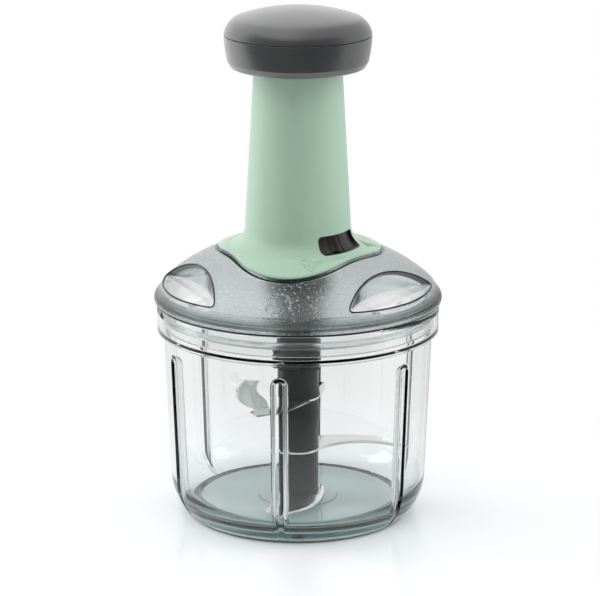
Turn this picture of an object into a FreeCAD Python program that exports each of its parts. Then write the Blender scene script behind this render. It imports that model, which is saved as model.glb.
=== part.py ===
import FreeCAD, Part
import math
import os
from types import SimpleNamespace

import Sketcher

# Driving dimensions of the chopper, in millimetres and degrees.
SIZES = {
    # bowl
    "wall": 2.3,
    "corner_run": 7.3,
    "foot_width": 5.8,
    "ring_height": 1.2,
    "ring_bevel": 0.6,
    "ring_gap": 0.2,
    "floor_height": 6.0,
    "floor_thickness": 2.6,
    "disc_radius": 19.0,
    "disc_rise": 0.6,
    "outer_corner": 29.0,
    "inner_corner": 14.9,
    "corner_height": 20.0,
    "wall_taper": 2.6,
    "collar_shelf": 3.05,
    "bowl_height": 88.0,
    "step_rise": 1.3,
    "ledge_rise": 1.9,
    "collar_radius": 66.25,
    "collar_height": 14.6,
    # inward ribs of the bowl
    "rib_radius": 4.0,
    "rib_groove_radius": 2.5,
    "rib_inset": 0.6,
    "rib_groove_shift": 1.0,
    "rib_top_drop": 10.0,
    # lid lug and the notch it sits in
    "notch_ramp": 46.0,
    "notch_sweep": 76.0,
    "notch_depth": 3.9,
    "notch_step": 0.6,
    "lug_gap": 0.4,
    "lug_start": 1.4,
    "lug_end": 0.7,
    # pin and blade column
    "pin_radius": 3.0,
    "pin_fit": 0.06,
    "pin_seat_depth": 3.8,
    "pin_seat_floor": 1.0,
    "pin_height": 23.0,
    "pin_point": 1.5,
    "pin_boss_radius": 6.0,
    "column_gap": 0.3,
    "column_radius": 9.7,
    "drive_drop": 58.6,
    "hex_radius": 5.4,
    "hex_fit": 0.08,
    "blade_thickness": 1.0,
    "eye_radius": 10.2,
    "bulge_radius": 10.6,
    "bulge_length": 8.0,
    "blade_turn": 8.0,
    "lower_blade_height": 8.1,
    "middle_blade_height": 29.2,
    "upper_blade_drop": 14.8,
    "lower_blade_gap": 7.0,
    "middle_blade_gap": 4.9,
    "tip_slope": 8.5,
    "tip_rise": 2.8,
    "tip_hinge": 27.0,
    "facet_bite": 0.4,
    "head_thickness": 3.6,
    "dog_height": 14.0,
    "dog_wall": 1.6,
    "dog_rise": 2.0,
    "dog_sweep": 24.0,
    "rod_room": 1.1,
    # lid
    "lid_gap": 0.4,
    "lid_wall": 2.2,
    "lid_overhang": 0.95,
    "rim_roll": 0.4,
    "rim_roll_rise": 1.7,
    "crease_inset": 3.2,
    "crease_rise": 7.8,
    "crease_wall": 1.7,
    "shoulder_run": 1.1,
    "shoulder_drop": 1.9,
    "inside_corner": 3.6,
    "lid_rise": 25.8,
    "crown_margin": 1.5,
    "dome_radius": 73.5,
    "crown_hole_gap": 0.8,
    "recess_edge": 0.4,
    "recess_reach": 16.0,
    "recess_half_angle": 31.0,
    "recess_tip_inset": 0.8,
    "recess_floor_drop": 9.1,
    "recess_floor_fall": 3.2,
    "recess_width": 16.0,
    "recess_wall": 1.8,
    "recess_margin": 4.0,
    # inner cover and gasket
    "cover_gap": 0.3,
    "cover_thickness": 2.0,
    "cover_rise": 1.3,
    "cover_hole_gap": 0.5,
    "skirt_depth": 10.4,
    "skirt_thickness": 2.6,
    "skirt_gap": 1.05,
    "gasket_depth": 6.3,
    "gasket_height": 2.6,
    "gasket_groove_depth": 1.2,
    "gasket_play": 0.3,
    "gasket_bevel": 0.8,
    "gasket_fit": 0.2,
    # mint column
    "column_length": 83.8,
    "column_wall": 2.4,
    "column_room": 5.4,
    "boss_cover": 5.6,
    "flare_rise": 11.6,
    "flare_radius": 9.75,
    "flare_spread": 8.7,
    "flare_drop": 1.1,
    "skirt_lift": 1.3,
    "skirt_seat": 0.15,
    "foot_spread": 4.3,
    "foot_push": 2.0,
    "foot_oval": 1.2,
    "foot_lobes": 3.2,
    "foot_corners": 1.2,
    "foot_margin": 3.0,
    "floor_run": 0.8,
    "boss_radius": 2.9,
    "boss_gap": 1.0,
    "boss_height": 12.4,
    "shell_floor": 2.05,
    "screw_radius": 1.25,
    "screw_fit": 0.25,
    "screw_head_radius": 2.6,
    "screw_head_height": 1.8,
    # guide bush
    "bush_length": 10.2,
    "bush_flange": 1.6,
    "bush_fit": 0.08,
    "bush_seat": 0.15,
    "bush_lip": 1.3,
    # lock
    "lock_angle": -32.0,
    "window_half": 28.5,
    "window_rise": 1.9,
    "window_height": 7.8,
    "channel_wall": 1.3,
    "channel_room": 2.4,
    "slider_fit": 0.25,
    "slider_thickness": 1.3,
    "slider_rise": 0.5,
    "slider_height": 11.3,
    "slider_half": 36.0,
    "slider_end_gap": 4.0,
    "lock_travel": 12.0,
    "thumb_half": 9.0,
    "thumb_rise": 2.2,
    "bolt_half": 5.0,
    "bolt_rise": 4.0,
    "bolt_height": 3.2,
    "bolt_gap": 0.3,
    "bolt_room": 0.5,
    "bolt_root": 2.2,
    "slot_clear": 0.6,
    # plunger and knob
    "stroke": 45.0,
    "tube_gap": 1.1,
    "tube_room": 0.4,
    "tube_wall": 2.4,
    "tube_rise": 0.8,
    "stop_ledge": 2.0,
    "stop_height": 4.2,
    "stop_gap": 0.4,
    "knob_gap": 0.6,
    "knob_radius": 34.2,
    "knob_wall": 2.3,
    "knob_floor": 2.4,
    "knob_foot_inset": 5.4,
    "knob_foot_rise": 0.8,
    "knob_edge_inset": 3.0,
    "knob_side_inset": 1.5,
    "knob_side_rise": 3.6,
    "knob_side_round": 60.0,
    "knob_inside_inset": 5.6,
    "seam_rise": 16.1,
    "seam_gap": 0.3,
    "knob_crown": 12.9,
    "knob_corner": 10.0,
    "knob_shoulder_inset": 5.5,
    "knob_shoulder_drop": 4.9,
    "cap_lip_depth": 6.0,
    "cap_lip_gap": 0.3,
    "cap_lip_wall": 2.0,
    "knob_boss_inset": 7.3,
    "knob_boss_radius": 3.4,
    "knob_boss_height": 6.0,
    "flange_margin": 3.5,
    "flange_thickness": 2.0,
    # rod, holder and springs
    "rod_width": 7.0,
    "rod_thickness": 3.2,
    "rod_fit": 0.22,
    "rod_lead": 30.0,
    "rod_reach": 10.4,
    "rod_straight": 15.0,
    "holder_wall": 2.1,
    "holder_rise": 2.6,
    "holder_seat": 8.7,
    "plug_gap": 0.3,
    "rod_pin_radius": 1.0,
    "rod_pin_rise": 8.0,
    "spring_room": 3.9,
    "spring_wire": 1.4,
    "spring_turns": 18.0,
    "spring_seat": 0.25,
    # drive in the lid
    "clutch_room": 2.0,
    "housing_wall": 2.4,
    "housing_flange_margin": 4.3,
    "housing_flange": 2.0,
    "housing_height": 22.0,
    "housing_floor": 2.0,
    "washer_thickness": 0.4,
    "washer_gap": 0.1,
    "socket_wall": 1.5,
    "socket_bore_gap": 1.5,
    "cup_gap": 0.4,
    "cup_depth": 17.6,
    "socket_gap": 0.5,
    "socket_flange_margin": 1.0,
    "socket_flange": 1.6,
    "socket_fit": 0.1,
    "socket_rib_gap": 0.4,
    "socket_rib_sweep": 25.0,
    "socket_rib_shift": 35.0,
    "fin_reach": 2.1,
    "fin_pitch": 3.7,
    "fin_thickness": 1.4,
    "fin_sweep": 50.0,
    "fin_start": 43.0,
    "tooth_height": 1.3,
    "tooth_width": 2.6,
    "tooth_inset": 0.9,
    "tooth_gap": 0.1,
    "clutch_thickness": 2.6,
    "clutch_rim": 1.7,
    "clutch_fit": 0.15,
    "hub_wall": 3.2,
    "rod_bore_gap": 0.8,
    "spline_rise": 1.2,
    "spline_width": 2.0,
    "nut_flange_margin": 0.2,
    "nut_flange": 2.8,
    "nut_drop": 1.85,
    "nut_grip": 6.0,
    "clutch_spring_room": 1.6,
    "clutch_spring_wire": 0.7,
    "clutch_spring_turns": 3.5,
}

doc = FreeCAD.newDocument("food_chopper")
sheet = doc.addObject("Spreadsheet::Sheet", "Sizes")
for row, (alias, value) in enumerate(SIZES.items(), start=1):
    sheet.set(f"A{row}", alias.replace("_", " "))
    sheet.set(f"B{row}", str(value))
    sheet.setAlias(f"B{row}", alias)
doc.recompute()


class Size:
    """A length or an angle that knows its number and the sheet formula it comes from."""

    def __init__(self, number, formula):
        self.number = number
        self.formula = formula

    def __add__(self, other):
        other = size_of(other)
        return Size(self.number + other.number, f"({self.formula} + {other.formula})")

    def __sub__(self, other):
        other = size_of(other)
        return Size(self.number - other.number, f"({self.formula} - {other.formula})")

    def __mul__(self, other):
        other = size_of(other)
        return Size(self.number * other.number, f"({self.formula} * {other.formula})")

    def __truediv__(self, other):
        other = size_of(other)
        return Size(self.number / other.number, f"({self.formula} / {other.formula})")

    def __radd__(self, other):
        return size_of(other) + self

    def __rsub__(self, other):
        return size_of(other) - self

    def __rmul__(self, other):
        return size_of(other) * self

    def __neg__(self):
        return Size(-self.number, f"(-{self.formula})")


def size_of(value):
    """A plain number becomes a size of that number."""
    if isinstance(value, Size):
        return value
    return Size(float(value), f"{float(value):.9f}")


def root(size):
    return Size(math.sqrt(size.number), f"sqrt({size.formula})")


def cosine(angle):
    angle = size_of(angle)
    return Size(math.cos(math.radians(angle.number)), f"cos({angle.formula} * 1deg)")


def sine(angle):
    angle = size_of(angle)
    return Size(math.sin(math.radians(angle.number)), f"sin({angle.formula} * 1deg)")


s = SimpleNamespace(**{alias: Size(float(sheet.get(alias)), f"Sizes.{alias}") for alias in SIZES})

# Radii of the bowl and the lid, which all follow the collar.
s.high_radius = s.collar_radius - s.collar_shelf
s.low_radius = s.high_radius - s.wall_taper
s.foot_radius = s.low_radius - s.corner_run
s.lid_rim_radius = s.collar_radius + s.lid_overhang
s.lid_radius = s.lid_rim_radius + s.rim_roll
s.crease_radius = s.lid_rim_radius - s.crease_inset
s.recess_outer_radius = s.crease_radius - s.recess_edge
s.recess_inner_radius = s.recess_outer_radius - s.recess_reach

# Heights, from the bowl's wall up to the top of the knob, and down again into the blade column.
s.rim_height = s.bowl_height + s.collar_height
s.rib_top = s.bowl_height - s.rib_top_drop
s.skirt_bottom = s.rim_height - s.skirt_depth
s.gasket_bottom = s.rim_height - s.gasket_depth
s.crown_height = s.rim_height + s.lid_rise
s.housing_bottom = s.crown_height - s.housing_height
s.flare_start = s.crown_height + s.flare_rise
s.column_shell_top = s.crown_height + s.column_length
s.window_bottom = s.crown_height + s.window_rise
s.window_top = s.window_bottom + s.window_height
s.slider_bottom = s.crown_height + s.slider_rise
s.slider_top = s.slider_bottom + s.slider_height
s.bolt_bottom = s.crown_height + s.bolt_rise
s.tube_bottom = s.crown_height + s.tube_rise
s.knob_seam = s.column_shell_top + s.seam_rise
s.knob_top = s.knob_seam + s.knob_crown
s.holder_bottom = s.crown_height + s.holder_rise
s.rod_bottom = s.crown_height - s.stroke - s.rod_reach
s.column_top = s.crown_height - s.drive_drop
s.socket_bottom = s.column_top + s.socket_gap
s.upper_blade_height = s.column_top - s.upper_blade_drop

# Radii of the drive, from the spiral rod outwards to the mint column.
half_wide = s.rod_width / 2
s.rod_room_radius = half_wide + s.rod_room
s.dog_core_radius = s.rod_room_radius + s.dog_wall
s.dog_radius = s.dog_core_radius + s.dog_rise
s.socket_rib_radius = s.dog_core_radius + s.socket_rib_gap
s.cup_radius = s.dog_radius + s.cup_gap
s.socket_radius = s.cup_radius + s.socket_wall
s.socket_bore = half_wide + s.socket_bore_gap
s.fin_radius = s.socket_radius + s.fin_reach
s.hub_radius = half_wide + s.hub_wall
s.tooth_inner_radius = s.hub_radius + s.tooth_inset
s.spline_radius = s.hub_radius + s.spline_rise
s.clutch_spring_radius = s.spline_radius + s.clutch_spring_room
s.clutch_radius = s.clutch_spring_radius + s.clutch_rim
s.nut_flange_radius = s.clutch_radius + s.nut_flange_margin
s.socket_flange_radius = s.clutch_radius + s.socket_flange_margin
s.housing_radius = s.clutch_radius + s.clutch_room + s.housing_wall
s.crown_hole_radius = s.housing_radius + s.crown_hole_gap
s.boss_circle = s.housing_radius + s.screw_head_radius + s.boss_gap
s.housing_flange_radius = s.boss_circle + s.housing_flange_margin
s.tube_radius = s.boss_circle - s.boss_radius - s.tube_gap
s.stop_radius = s.tube_radius + s.stop_ledge
s.shell_top_radius = s.tube_radius + s.column_room
s.shell_low_radius = s.boss_circle + s.boss_cover
s.flare_end_radius = s.shell_low_radius + s.flare_spread
s.foot_mean = s.flare_end_radius + s.foot_spread
s.crown_radius = s.flare_end_radius - s.crown_margin
s.knob_boss_circle = s.tube_radius + s.knob_boss_inset
s.flange_radius = s.knob_boss_circle + s.flange_margin
s.knob_shoulder_radius = s.knob_radius - s.knob_shoulder_inset
s.holder_radius = half_wide + s.holder_wall
s.spring_radius = s.holder_radius + s.spring_room


def bind(thing, name, size):
    """Sets a property and ties it to the sheet."""
    size = size_of(size)
    setattr(thing, name, size.number)
    thing.setExpression(name, size.formula)


def outline(sketch, corners):
    """Draws one closed outline in a sketch.

    Each corner is (x, y), or (x, y, radius) when an arc leads on to the next corner. A positive
    radius turns left along the way, a negative one turns right.
    """
    first = sketch.GeometryCount
    count = len(corners)
    joints = []
    for index, corner in enumerate(corners):
        after = corners[(index + 1) % count]
        start = FreeCAD.Vector(size_of(corner[0]).number, size_of(corner[1]).number, 0)
        end = FreeCAD.Vector(size_of(after[0]).number, size_of(after[1]).number, 0)
        if len(corner) == 2:
            sketch.addGeometry(Part.LineSegment(start, end), False)
            joints.append((1, 2))
            continue
        radius = corner[2].number
        along = end - start
        left = FreeCAD.Vector(-along.y, along.x, 0).normalize()
        depth = math.sqrt(max(radius ** 2 - along.Length ** 2 / 4, 0.0))
        centre = (start + end) * 0.5 + left * math.copysign(depth, radius)
        angles = [math.atan2(point.y - centre.y, point.x - centre.x) for point in (start, end)]
        circle = Part.Circle(centre, FreeCAD.Vector(0, 0, 1), abs(radius))
        if radius > 0:
            sketch.addGeometry(Part.ArcOfCircle(circle, angles[0], angles[1]), False)
            joints.append((1, 2))
        else:
            sketch.addGeometry(Part.ArcOfCircle(circle, angles[1], angles[0]), False)
            joints.append((2, 1))
    for index, corner in enumerate(corners):
        here = first + index
        following = first + (index + 1) % count
        start_point = joints[index][0]
        sketch.addConstraint(Sketcher.Constraint(
            "Coincident", here, joints[index][1], following, joints[(index + 1) % count][0]))
        for kind, coordinate in zip(("DistanceX", "DistanceY"), corner):
            size = size_of(coordinate)
            number = sketch.addConstraint(Sketcher.Constraint(kind, -1, 1, here, start_point, size.number))
            sketch.setExpression(f"Constraints[{number}]", size.formula)
        if len(corner) == 3:
            radius = corner[2] if corner[2].number > 0 else -corner[2]
            number = sketch.addConstraint(Sketcher.Constraint("Radius", here, radius.number))
            sketch.setExpression(f"Constraints[{number}]", radius.formula)


def turned(name, corners):
    """A body turned about the Z axis from its half section, given as radius and height."""
    body = doc.addObject("PartDesign::Body", name)
    section = body.newObject("Sketcher::SketchObject", name + "_section")
    plane = [feature for feature in body.Origin.OriginFeatures if feature.Role == "XZ_Plane"][0]
    section.AttachmentSupport = (plane, "")
    section.MapMode = "FlatFace"
    outline(section, corners)
    turn = body.newObject("PartDesign::Revolution", name + "_turn")
    turn.Profile = section
    turn.ReferenceAxis = (section, ["V_Axis"])
    turn.Angle = 360
    return body


def frame(x_axis, y_axis, origin=(0, 0, 0)):
    """A sketch plane from its two directions and its origin."""
    across = FreeCAD.Vector(*x_axis)
    up = FreeCAD.Vector(*y_axis)
    return FreeCAD.Placement(FreeCAD.Vector(*origin), FreeCAD.Rotation(across, up, across.cross(up), "XYZ"))


def radial_plane(angle):
    """The upright plane through the axis whose x runs outwards at this angle."""
    turn = math.radians(angle)
    return frame((math.cos(turn), math.sin(turn), 0), (0, 0, 1))


def facing_plane(angle):
    """The upright plane through the axis that looks outwards at this angle."""
    turn = math.radians(angle)
    return frame((-math.sin(turn), math.cos(turn), 0), (0, 0, 1))


FLAT = frame((1, 0, 0), (0, 1, 0))


def drawing(name, plane, *outlines, height=None):
    """A sketch that stands on its own in the document."""
    sketch = doc.addObject("Sketcher::SketchObject", name + "_sketch")
    sketch.Placement = plane
    for corners in outlines:
        outline(sketch, corners)
    if height is not None:
        sketch.Placement.Base.z = height.number
        sketch.setExpression("Placement.Base.z", height.formula)
    return sketch


def extruded(name, sketch, length, both_ways=False):
    """A prism along the normal of its sketch."""
    prism = doc.addObject("Part::Extrusion", name)
    prism.Base = sketch
    prism.DirMode = "Normal"
    prism.Solid = True
    prism.Symmetric = both_ways
    bind(prism, "LengthFwd", length)
    return prism


def sector(name, corners, start, sweep):
    """Part of a turned ring, from one angle on round through a sweep."""
    ring = doc.addObject("Part::Revolution", name)
    ring.Source = drawing(name, radial_plane(size_of(start).number), corners)
    ring.Axis = (0, 0, 1)
    ring.Base = (0, 0, 0)
    ring.Solid = True
    bind(ring, "Angle", sweep)
    return ring


def cylinder(name, radius, bottom, top, place=(0, 0)):
    """An upright cylinder between two heights."""
    rod = doc.addObject("Part::Cylinder", name)
    bind(rod, "Radius", radius)
    bind(rod, "Height", top - bottom)
    rod.Placement.Base = (size_of(place[0]).number, size_of(place[1]).number, size_of(bottom).number)
    rod.setExpression("Placement.Base.x", size_of(place[0]).formula)
    rod.setExpression("Placement.Base.y", size_of(place[1]).formula)
    rod.setExpression("Placement.Base.z", size_of(bottom).formula)
    return rod


def around(circle, angle):
    """The place on a circle about the axis at this angle."""
    return circle * cosine(angle), circle * sine(angle)


def fuse(name, parts):
    whole = doc.addObject("Part::MultiFuse", name)
    whole.Shapes = parts
    whole.Refine = True
    return whole


def common(name, parts):
    shared = doc.addObject("Part::MultiCommon", name)
    shared.Shapes = parts
    return shared


def cut(name, base, tools):
    rest = doc.addObject("Part::Cut", name)
    rest.Base = base
    rest.Tool = tools[0] if len(tools) == 1 else fuse(name + "_tools", tools)
    return rest


def rectangle(left, bottom, right, top):
    return [(left, bottom), (right, bottom), (right, top), (left, top)]


def hex_bar(name, radius, bottom, top):
    bar = doc.addObject("Part::Prism", name)
    bar.Polygon = 6
    bind(bar, "Circumradius", radius)
    bind(bar, "Height", top - bottom)
    bar.Placement.Base.z = bottom.number
    bar.setExpression("Placement.Base.z", bottom.formula)
    return bar


def shaped(name, shape):
    """A piece whose shape comes from curves that no ready feature gives."""
    piece = doc.addObject("Part::Feature", name)
    piece.Shape = shape
    return piece


NODES = {}


def node(name, piece):
    """Keeps a finished piece under the name of its node."""
    piece.Label = name
    NODES[name] = piece
    return piece


# Bowl: one clear moulding, with a foot ring, a drawn-in corner, a collar and six hollow ribs.
underside = s.floor_height - s.floor_thickness
foot_inner = s.foot_radius - s.foot_width
disc_top = s.floor_height + s.disc_rise
pin_bottom = disc_top - s.pin_seat_depth
boss_bottom = pin_bottom - s.pin_seat_floor
step_top = s.bowl_height + s.step_rise
collar_inner = s.collar_radius - s.wall
low_inner = s.low_radius - s.wall
high_inner = s.high_radius - s.wall
corner_rise = s.corner_height - s.floor_height
floor_edge_radius = low_inner - s.inner_corner + root(
    s.inner_corner * s.inner_corner - corner_rise * corner_rise)

bowl_outside = [
    (0, s.ring_height),
    (s.foot_radius, s.ring_height, s.outer_corner),
    (s.low_radius, s.corner_height),
    (s.high_radius, s.bowl_height),
    (0, s.bowl_height),
]
bowl_blank = turned("bowl_blank", [
    (0, boss_bottom),
    (s.pin_boss_radius, boss_bottom),
    (s.pin_boss_radius, underside),
    (foot_inner, underside),
    (foot_inner, s.ring_height),
    (s.foot_radius, s.ring_height, s.outer_corner),
    (s.low_radius, s.corner_height),
    (s.high_radius, s.bowl_height),
    (s.collar_radius, step_top),
    (s.collar_radius, s.rim_height),
    (collar_inner, s.rim_height),
    (collar_inner, step_top + s.ledge_rise),
    (high_inner, s.bowl_height + s.step_rise),
    (low_inner, s.corner_height, -s.inner_corner),
    (floor_edge_radius, s.floor_height),
    (s.disc_radius, s.floor_height),
    (s.disc_radius - s.disc_rise, disc_top),
    (s.pin_radius, disc_top),
    (s.pin_radius, pin_bottom),
    (0, pin_bottom),
])

# A rib is a half-round fold of the wall: a rounded ridge inside with a narrower groove outside.
# Both lean outwards with the wall, and end in a half ball at the top.
wall_run = s.high_radius - s.low_radius
wall_rise = s.bowl_height - s.corner_height
lean = math.degrees(math.atan2(wall_run.number, wall_rise.number))


def fold(name, radius, shift, bottom, angle):
    """A leaning rod with a ball on top, set against the inside of the wall."""
    rib_foot = low_inner + shift + wall_run * (bottom - s.corner_height) / wall_rise
    top_shift = wall_run * (s.rib_top - bottom) / wall_rise
    lean_turn = FreeCAD.Rotation(FreeCAD.Vector(0, 1, 0), lean)
    spin = FreeCAD.Rotation(FreeCAD.Vector(0, 0, 1), angle)
    rod = doc.addObject("Part::Cylinder", name + "_rod")
    bind(rod, "Radius", radius)
    bind(rod, "Height", root((s.rib_top - bottom) * (s.rib_top - bottom) + top_shift * top_shift))
    ball = doc.addObject("Part::Sphere", name + "_ball")
    bind(ball, "Radius", radius)
    rod.Placement.Rotation = spin * lean_turn
    for thing, reach, height in ((rod, rib_foot, bottom), (ball, rib_foot + top_shift, s.rib_top)):
        place = around(reach, angle) + (height,)
        thing.Placement.Base = tuple(size_of(value).number for value in place)
        for axis, value in zip("xyz", place):
            thing.setExpression(f"Placement.Base.{axis}", size_of(value).formula)
    return [rod, ball]


ridges = []
grooves = []
for rib in range(6):
    rib_angle = -90 + 60 * rib
    ridges += fold(f"ridge_{rib}", s.rib_radius, s.rib_inset, underside, rib_angle)
    grooves += fold(f"groove_{rib}", s.rib_groove_radius, s.rib_groove_shift, s.ring_height, rib_angle)
bowl_envelope = turned("bowl_envelope", bowl_outside)
ridge_set = common("ridge_set", [fuse("ridge_rods", ridges), bowl_envelope])


def rim_wedge(name, angle, near, ramp_end, far, step_level, deep_level, top, inner, outer):
    """A wedge on the rim: it starts with a small step, deepens along its ramp and stays level."""
    corners = [(near, step_level), (ramp_end, deep_level)]
    if far is not ramp_end:
        corners.append((far, deep_level))
    corners += [(far, top), (near, top)]
    wedge = extruded(name + "_wedge", drawing(name, facing_plane(angle), corners), s.lid_radius + 5)
    band = sector(name + "_band", rectangle(inner, deep_level - 1, outer, top + 1), angle - 80, 160)
    return common(name, [wedge, band])


notch_far = s.collar_radius * sine(s.notch_sweep / 2)
notch_near = -notch_far
ramp_end = s.collar_radius * sine(s.notch_ramp - s.notch_sweep / 2)
step_level = s.rim_height - s.notch_step
deep_level = s.rim_height - s.notch_depth
lug_near = notch_near + s.lug_start
lug_far = ramp_end - s.lug_end
lug_step = step_level + s.lug_gap
lug_deep = deep_level + s.lug_gap
NOTCH_ANGLES = (-10.0, 170.0)
notches = []
lugs = []
for side in range(2):
    notches.append(rim_wedge(
        f"notch_{side}", NOTCH_ANGLES[side], notch_near, ramp_end, notch_far,
        step_level, deep_level, s.rim_height + 2, collar_inner - 2, s.collar_radius + 2))

bowl_ribbed = fuse("bowl_ribbed", [bowl_blank, ridge_set])
node("bowl", cut("bowl_cut", bowl_ribbed, grooves + notches))

# Base ring: a soft ring let in under the foot, so the bowl doesn't slide.
ring_outer = s.foot_radius - s.ring_gap * 4
node("base_ring", turned("base_ring_body", [
    (foot_inner + s.ring_gap, 0),
    (ring_outer - s.ring_bevel, 0),
    (ring_outer, s.ring_height / 2),
    (ring_outer, s.ring_height),
    (foot_inner + s.ring_gap, s.ring_height),
]))

# Centre pin: steel, pressed into the floor boss; the blade column turns on it.
pin_top = disc_top + s.pin_height
node("centre_pin", turned("centre_pin_body", [
    (0, pin_bottom),
    (s.pin_radius, pin_bottom),
    (s.pin_radius, pin_top - s.pin_point),
    (s.pin_radius - s.pin_point, pin_top),
    (0, pin_top),
]))

# Blade column: a hex shaft with three driving dogs, and dark sleeves that hold the blades apart.
column_bottom = disc_top + s.column_gap
head_bottom = s.column_top - s.head_thickness
dog_top = s.column_top + s.dog_height
pin_room_top = pin_top + 1
rod_room_bottom = s.rod_bottom - 1

shaft_bar = hex_bar("shaft_bar", s.hex_radius, column_bottom + 0.2, head_bottom + 1)
shaft_head = turned("shaft_head", [
    (0, head_bottom),
    (s.column_radius, head_bottom),
    (s.column_radius, s.column_top),
    (s.dog_core_radius, s.column_top),
    (s.dog_core_radius, dog_top),
    (0, dog_top),
])
dogs = []
for third in range(3):
    dogs.append(sector(
        f"dog_{third}",
        rectangle(s.dog_core_radius - 0.5, s.column_top - 0.5, s.dog_radius, dog_top - 0.6),
        120 * third - s.dog_sweep / 2, s.dog_sweep))
shaft_whole = fuse("shaft_whole", [shaft_bar, shaft_head] + dogs)
pin_room = cylinder("pin_room", s.pin_radius + s.pin_fit, column_bottom - 1, pin_room_top)
rod_room = cylinder("rod_room", s.rod_room_radius, rod_room_bottom, dog_top + 1)
node("blade_shaft", cut("blade_shaft_cut", shaft_whole, [pin_room, rod_room]))


hex_hole = s.hex_radius + s.hex_fit


def sleeve(name, corners):
    """A dark sleeve with a hexagon hole that slides over the shaft."""
    bottom, top = corners[0][1], corners[-1][1]
    blank = turned(name + "_blank", corners)
    node(name, cut(name + "_cut", blank, [hex_bar(name + "_hole", hex_hole, bottom - 1, top + 1)]))


lower_blade_top = s.lower_blade_height + s.blade_thickness
middle_blade_top = s.middle_blade_height + s.blade_thickness
upper_blade_top = s.upper_blade_height + s.blade_thickness
bulge_height = s.upper_blade_height - s.bulge_length
sleeve("foot_sleeve", rectangle(0, column_bottom, s.column_radius, s.lower_blade_height))
sleeve("lower_sleeve", rectangle(0, lower_blade_top, s.column_radius, s.middle_blade_height))
sleeve("middle_sleeve", [
    (0, middle_blade_top),
    (s.column_radius, middle_blade_top),
    (s.column_radius, bulge_height - s.bulge_length),
    (s.bulge_radius, bulge_height),
    (s.column_radius, s.upper_blade_height),
    (0, s.upper_blade_height),
])
sleeve("upper_sleeve", [
    (0, upper_blade_top),
    (s.bulge_radius, upper_blade_top),
    (s.column_radius, head_bottom),
    (0, head_bottom),
])

# Each blade is a flat sickle with an eye round the shaft. Its outline is drawn as it lies in the
# bowl, with x to the right, and the blade turn brings all three into the frame.
blade_turn = math.radians(s.blade_turn.number)
ALONG = (math.cos(blade_turn), math.sin(blade_turn), 0)
AWAY = (-math.sin(blade_turn), math.cos(blade_turn), 0)
BLADE_PLANE = frame(ALONG, AWAY)


def flat_wing(name, height, corners):
    """The wing of a blade, one blade thickness above this height."""
    sketch = drawing(name + "_wing", BLADE_PLANE, corners, height=height)
    return extruded(name + "_wing", sketch, s.blade_thickness)


def blade(name, height, pieces):
    """Joins a blade's pieces to its eye and cuts the hexagon through it."""
    eye = cylinder(name + "_eye", s.eye_radius, height, height + s.blade_thickness)
    hole = hex_bar(name + "_hole", hex_hole, height - 1, height + 2)
    node(name, cut(name + "_cut", fuse(name + "_plate", [eye] + pieces), [hole]))


lower_reach = floor_edge_radius - s.lower_blade_gap
middle_reach = low_inner - s.middle_blade_gap
blade("lower_blade", s.lower_blade_height, [flat_wing("lower", s.lower_blade_height, [
    (-14.0, -(lower_reach - 3.1)),
    (-7.0, -lower_reach, size_of(50.0)),
    (11.7, -9.0, size_of(60.0)),
    (12.1, 6.7, size_of(12.0)),
    (6.0, 8.0),
    (-8.0, 5.0),
    (-9.0, -4.0, size_of(-60.0)),
    (-15.9, -(lower_reach - 11.7)),
])])
blade("middle_blade", s.middle_blade_height, [flat_wing("middle", s.middle_blade_height, [
    (8.0, -6.0),
    (10.2, -3.8, size_of(-25.0)),
    (middle_reach - 5.3, 0.6),
    (middle_reach, 0.6, size_of(6.0)),
    (middle_reach - 0.6, 5.0, size_of(31.0)),
    (26.6, 19.3, size_of(38.0)),
    (-4.0, 9.3),
    (-4.0, -4.0),
])])

# Upper blade: the flat arm ends in a facet, where the blade is bent up into its crescent tip.
tip_slope = math.radians(s.tip_slope.number)
tip_level = upper_blade_top.number + s.tip_rise.number - s.blade_thickness.number


def blade_point(x, y, z):
    """A point given in the blades' own plane."""
    return BLADE_PLANE.multVec(FreeCAD.Vector(x, y, z))


tip_up = (
    -math.sin(blade_turn) * math.cos(tip_slope),
    math.cos(blade_turn) * math.cos(tip_slope),
    math.sin(tip_slope),
)
tip_start = blade_point(0, -s.tip_hinge.number, tip_level)
tip_plane = frame(ALONG, tip_up, tuple(tip_start))
crescent = extruded("upper_tip", drawing("upper_tip", tip_plane, [
    (-20.0, -2.7),
    (-13.4, -1.6),
    (-14.9, 4.2, size_of(-27.0)),
    (-18.5, 27.0),
    (-21.5, 33.0),
    (-25.8, 28.1, size_of(24.7)),
]), s.blade_thickness)
arm = flat_wing("upper", s.upper_blade_height, [
    (-19.0, -32.9),
    (-13.9, -30.4),
    (-6.5, -26.7, size_of(200.0)),
    (9.5, -3.1, size_of(66.0)),
    (13.1, 20.5),
    (11.0, 21.8),
    (7.5, 6.5),
    (-8.0, 5.5),
    (-9.0, -4.5, size_of(-90.0)),
    (-15.5, -25.0),
    (-19.5, -30.0),
])


def quad(corners, height):
    """A closed outline of four points of the blades' plane at one height."""
    points = [blade_point(x, y, height) for x, y in corners]
    return Part.makePolygon(points + points[:1])


facet_low = (upper_blade_top - s.facet_bite).number
facet_high = facet_low + s.tip_rise.number
facet = shaped("upper_facet", Part.makeLoft([
    quad([(-19.0, -32.7), (-12.4, -29.8), (-12.8, -28.4), (-18.6, -30.6)], facet_low),
    quad([(-19.9, -29.5), (-13.5, -28.4), (-13.7, -27.0), (-19.7, -28.1)], facet_high),
], True, True))
blade("upper_blade", s.upper_blade_height, [arm, crescent, facet])

# Lid: a dome on a straight rim. Its wall is even, and three finger scoops are moulded into it.
lid_bottom = s.rim_height + s.lid_gap
lid_inner = s.lid_rim_radius - s.lid_wall
crease_height = lid_bottom + s.crease_rise

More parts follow.
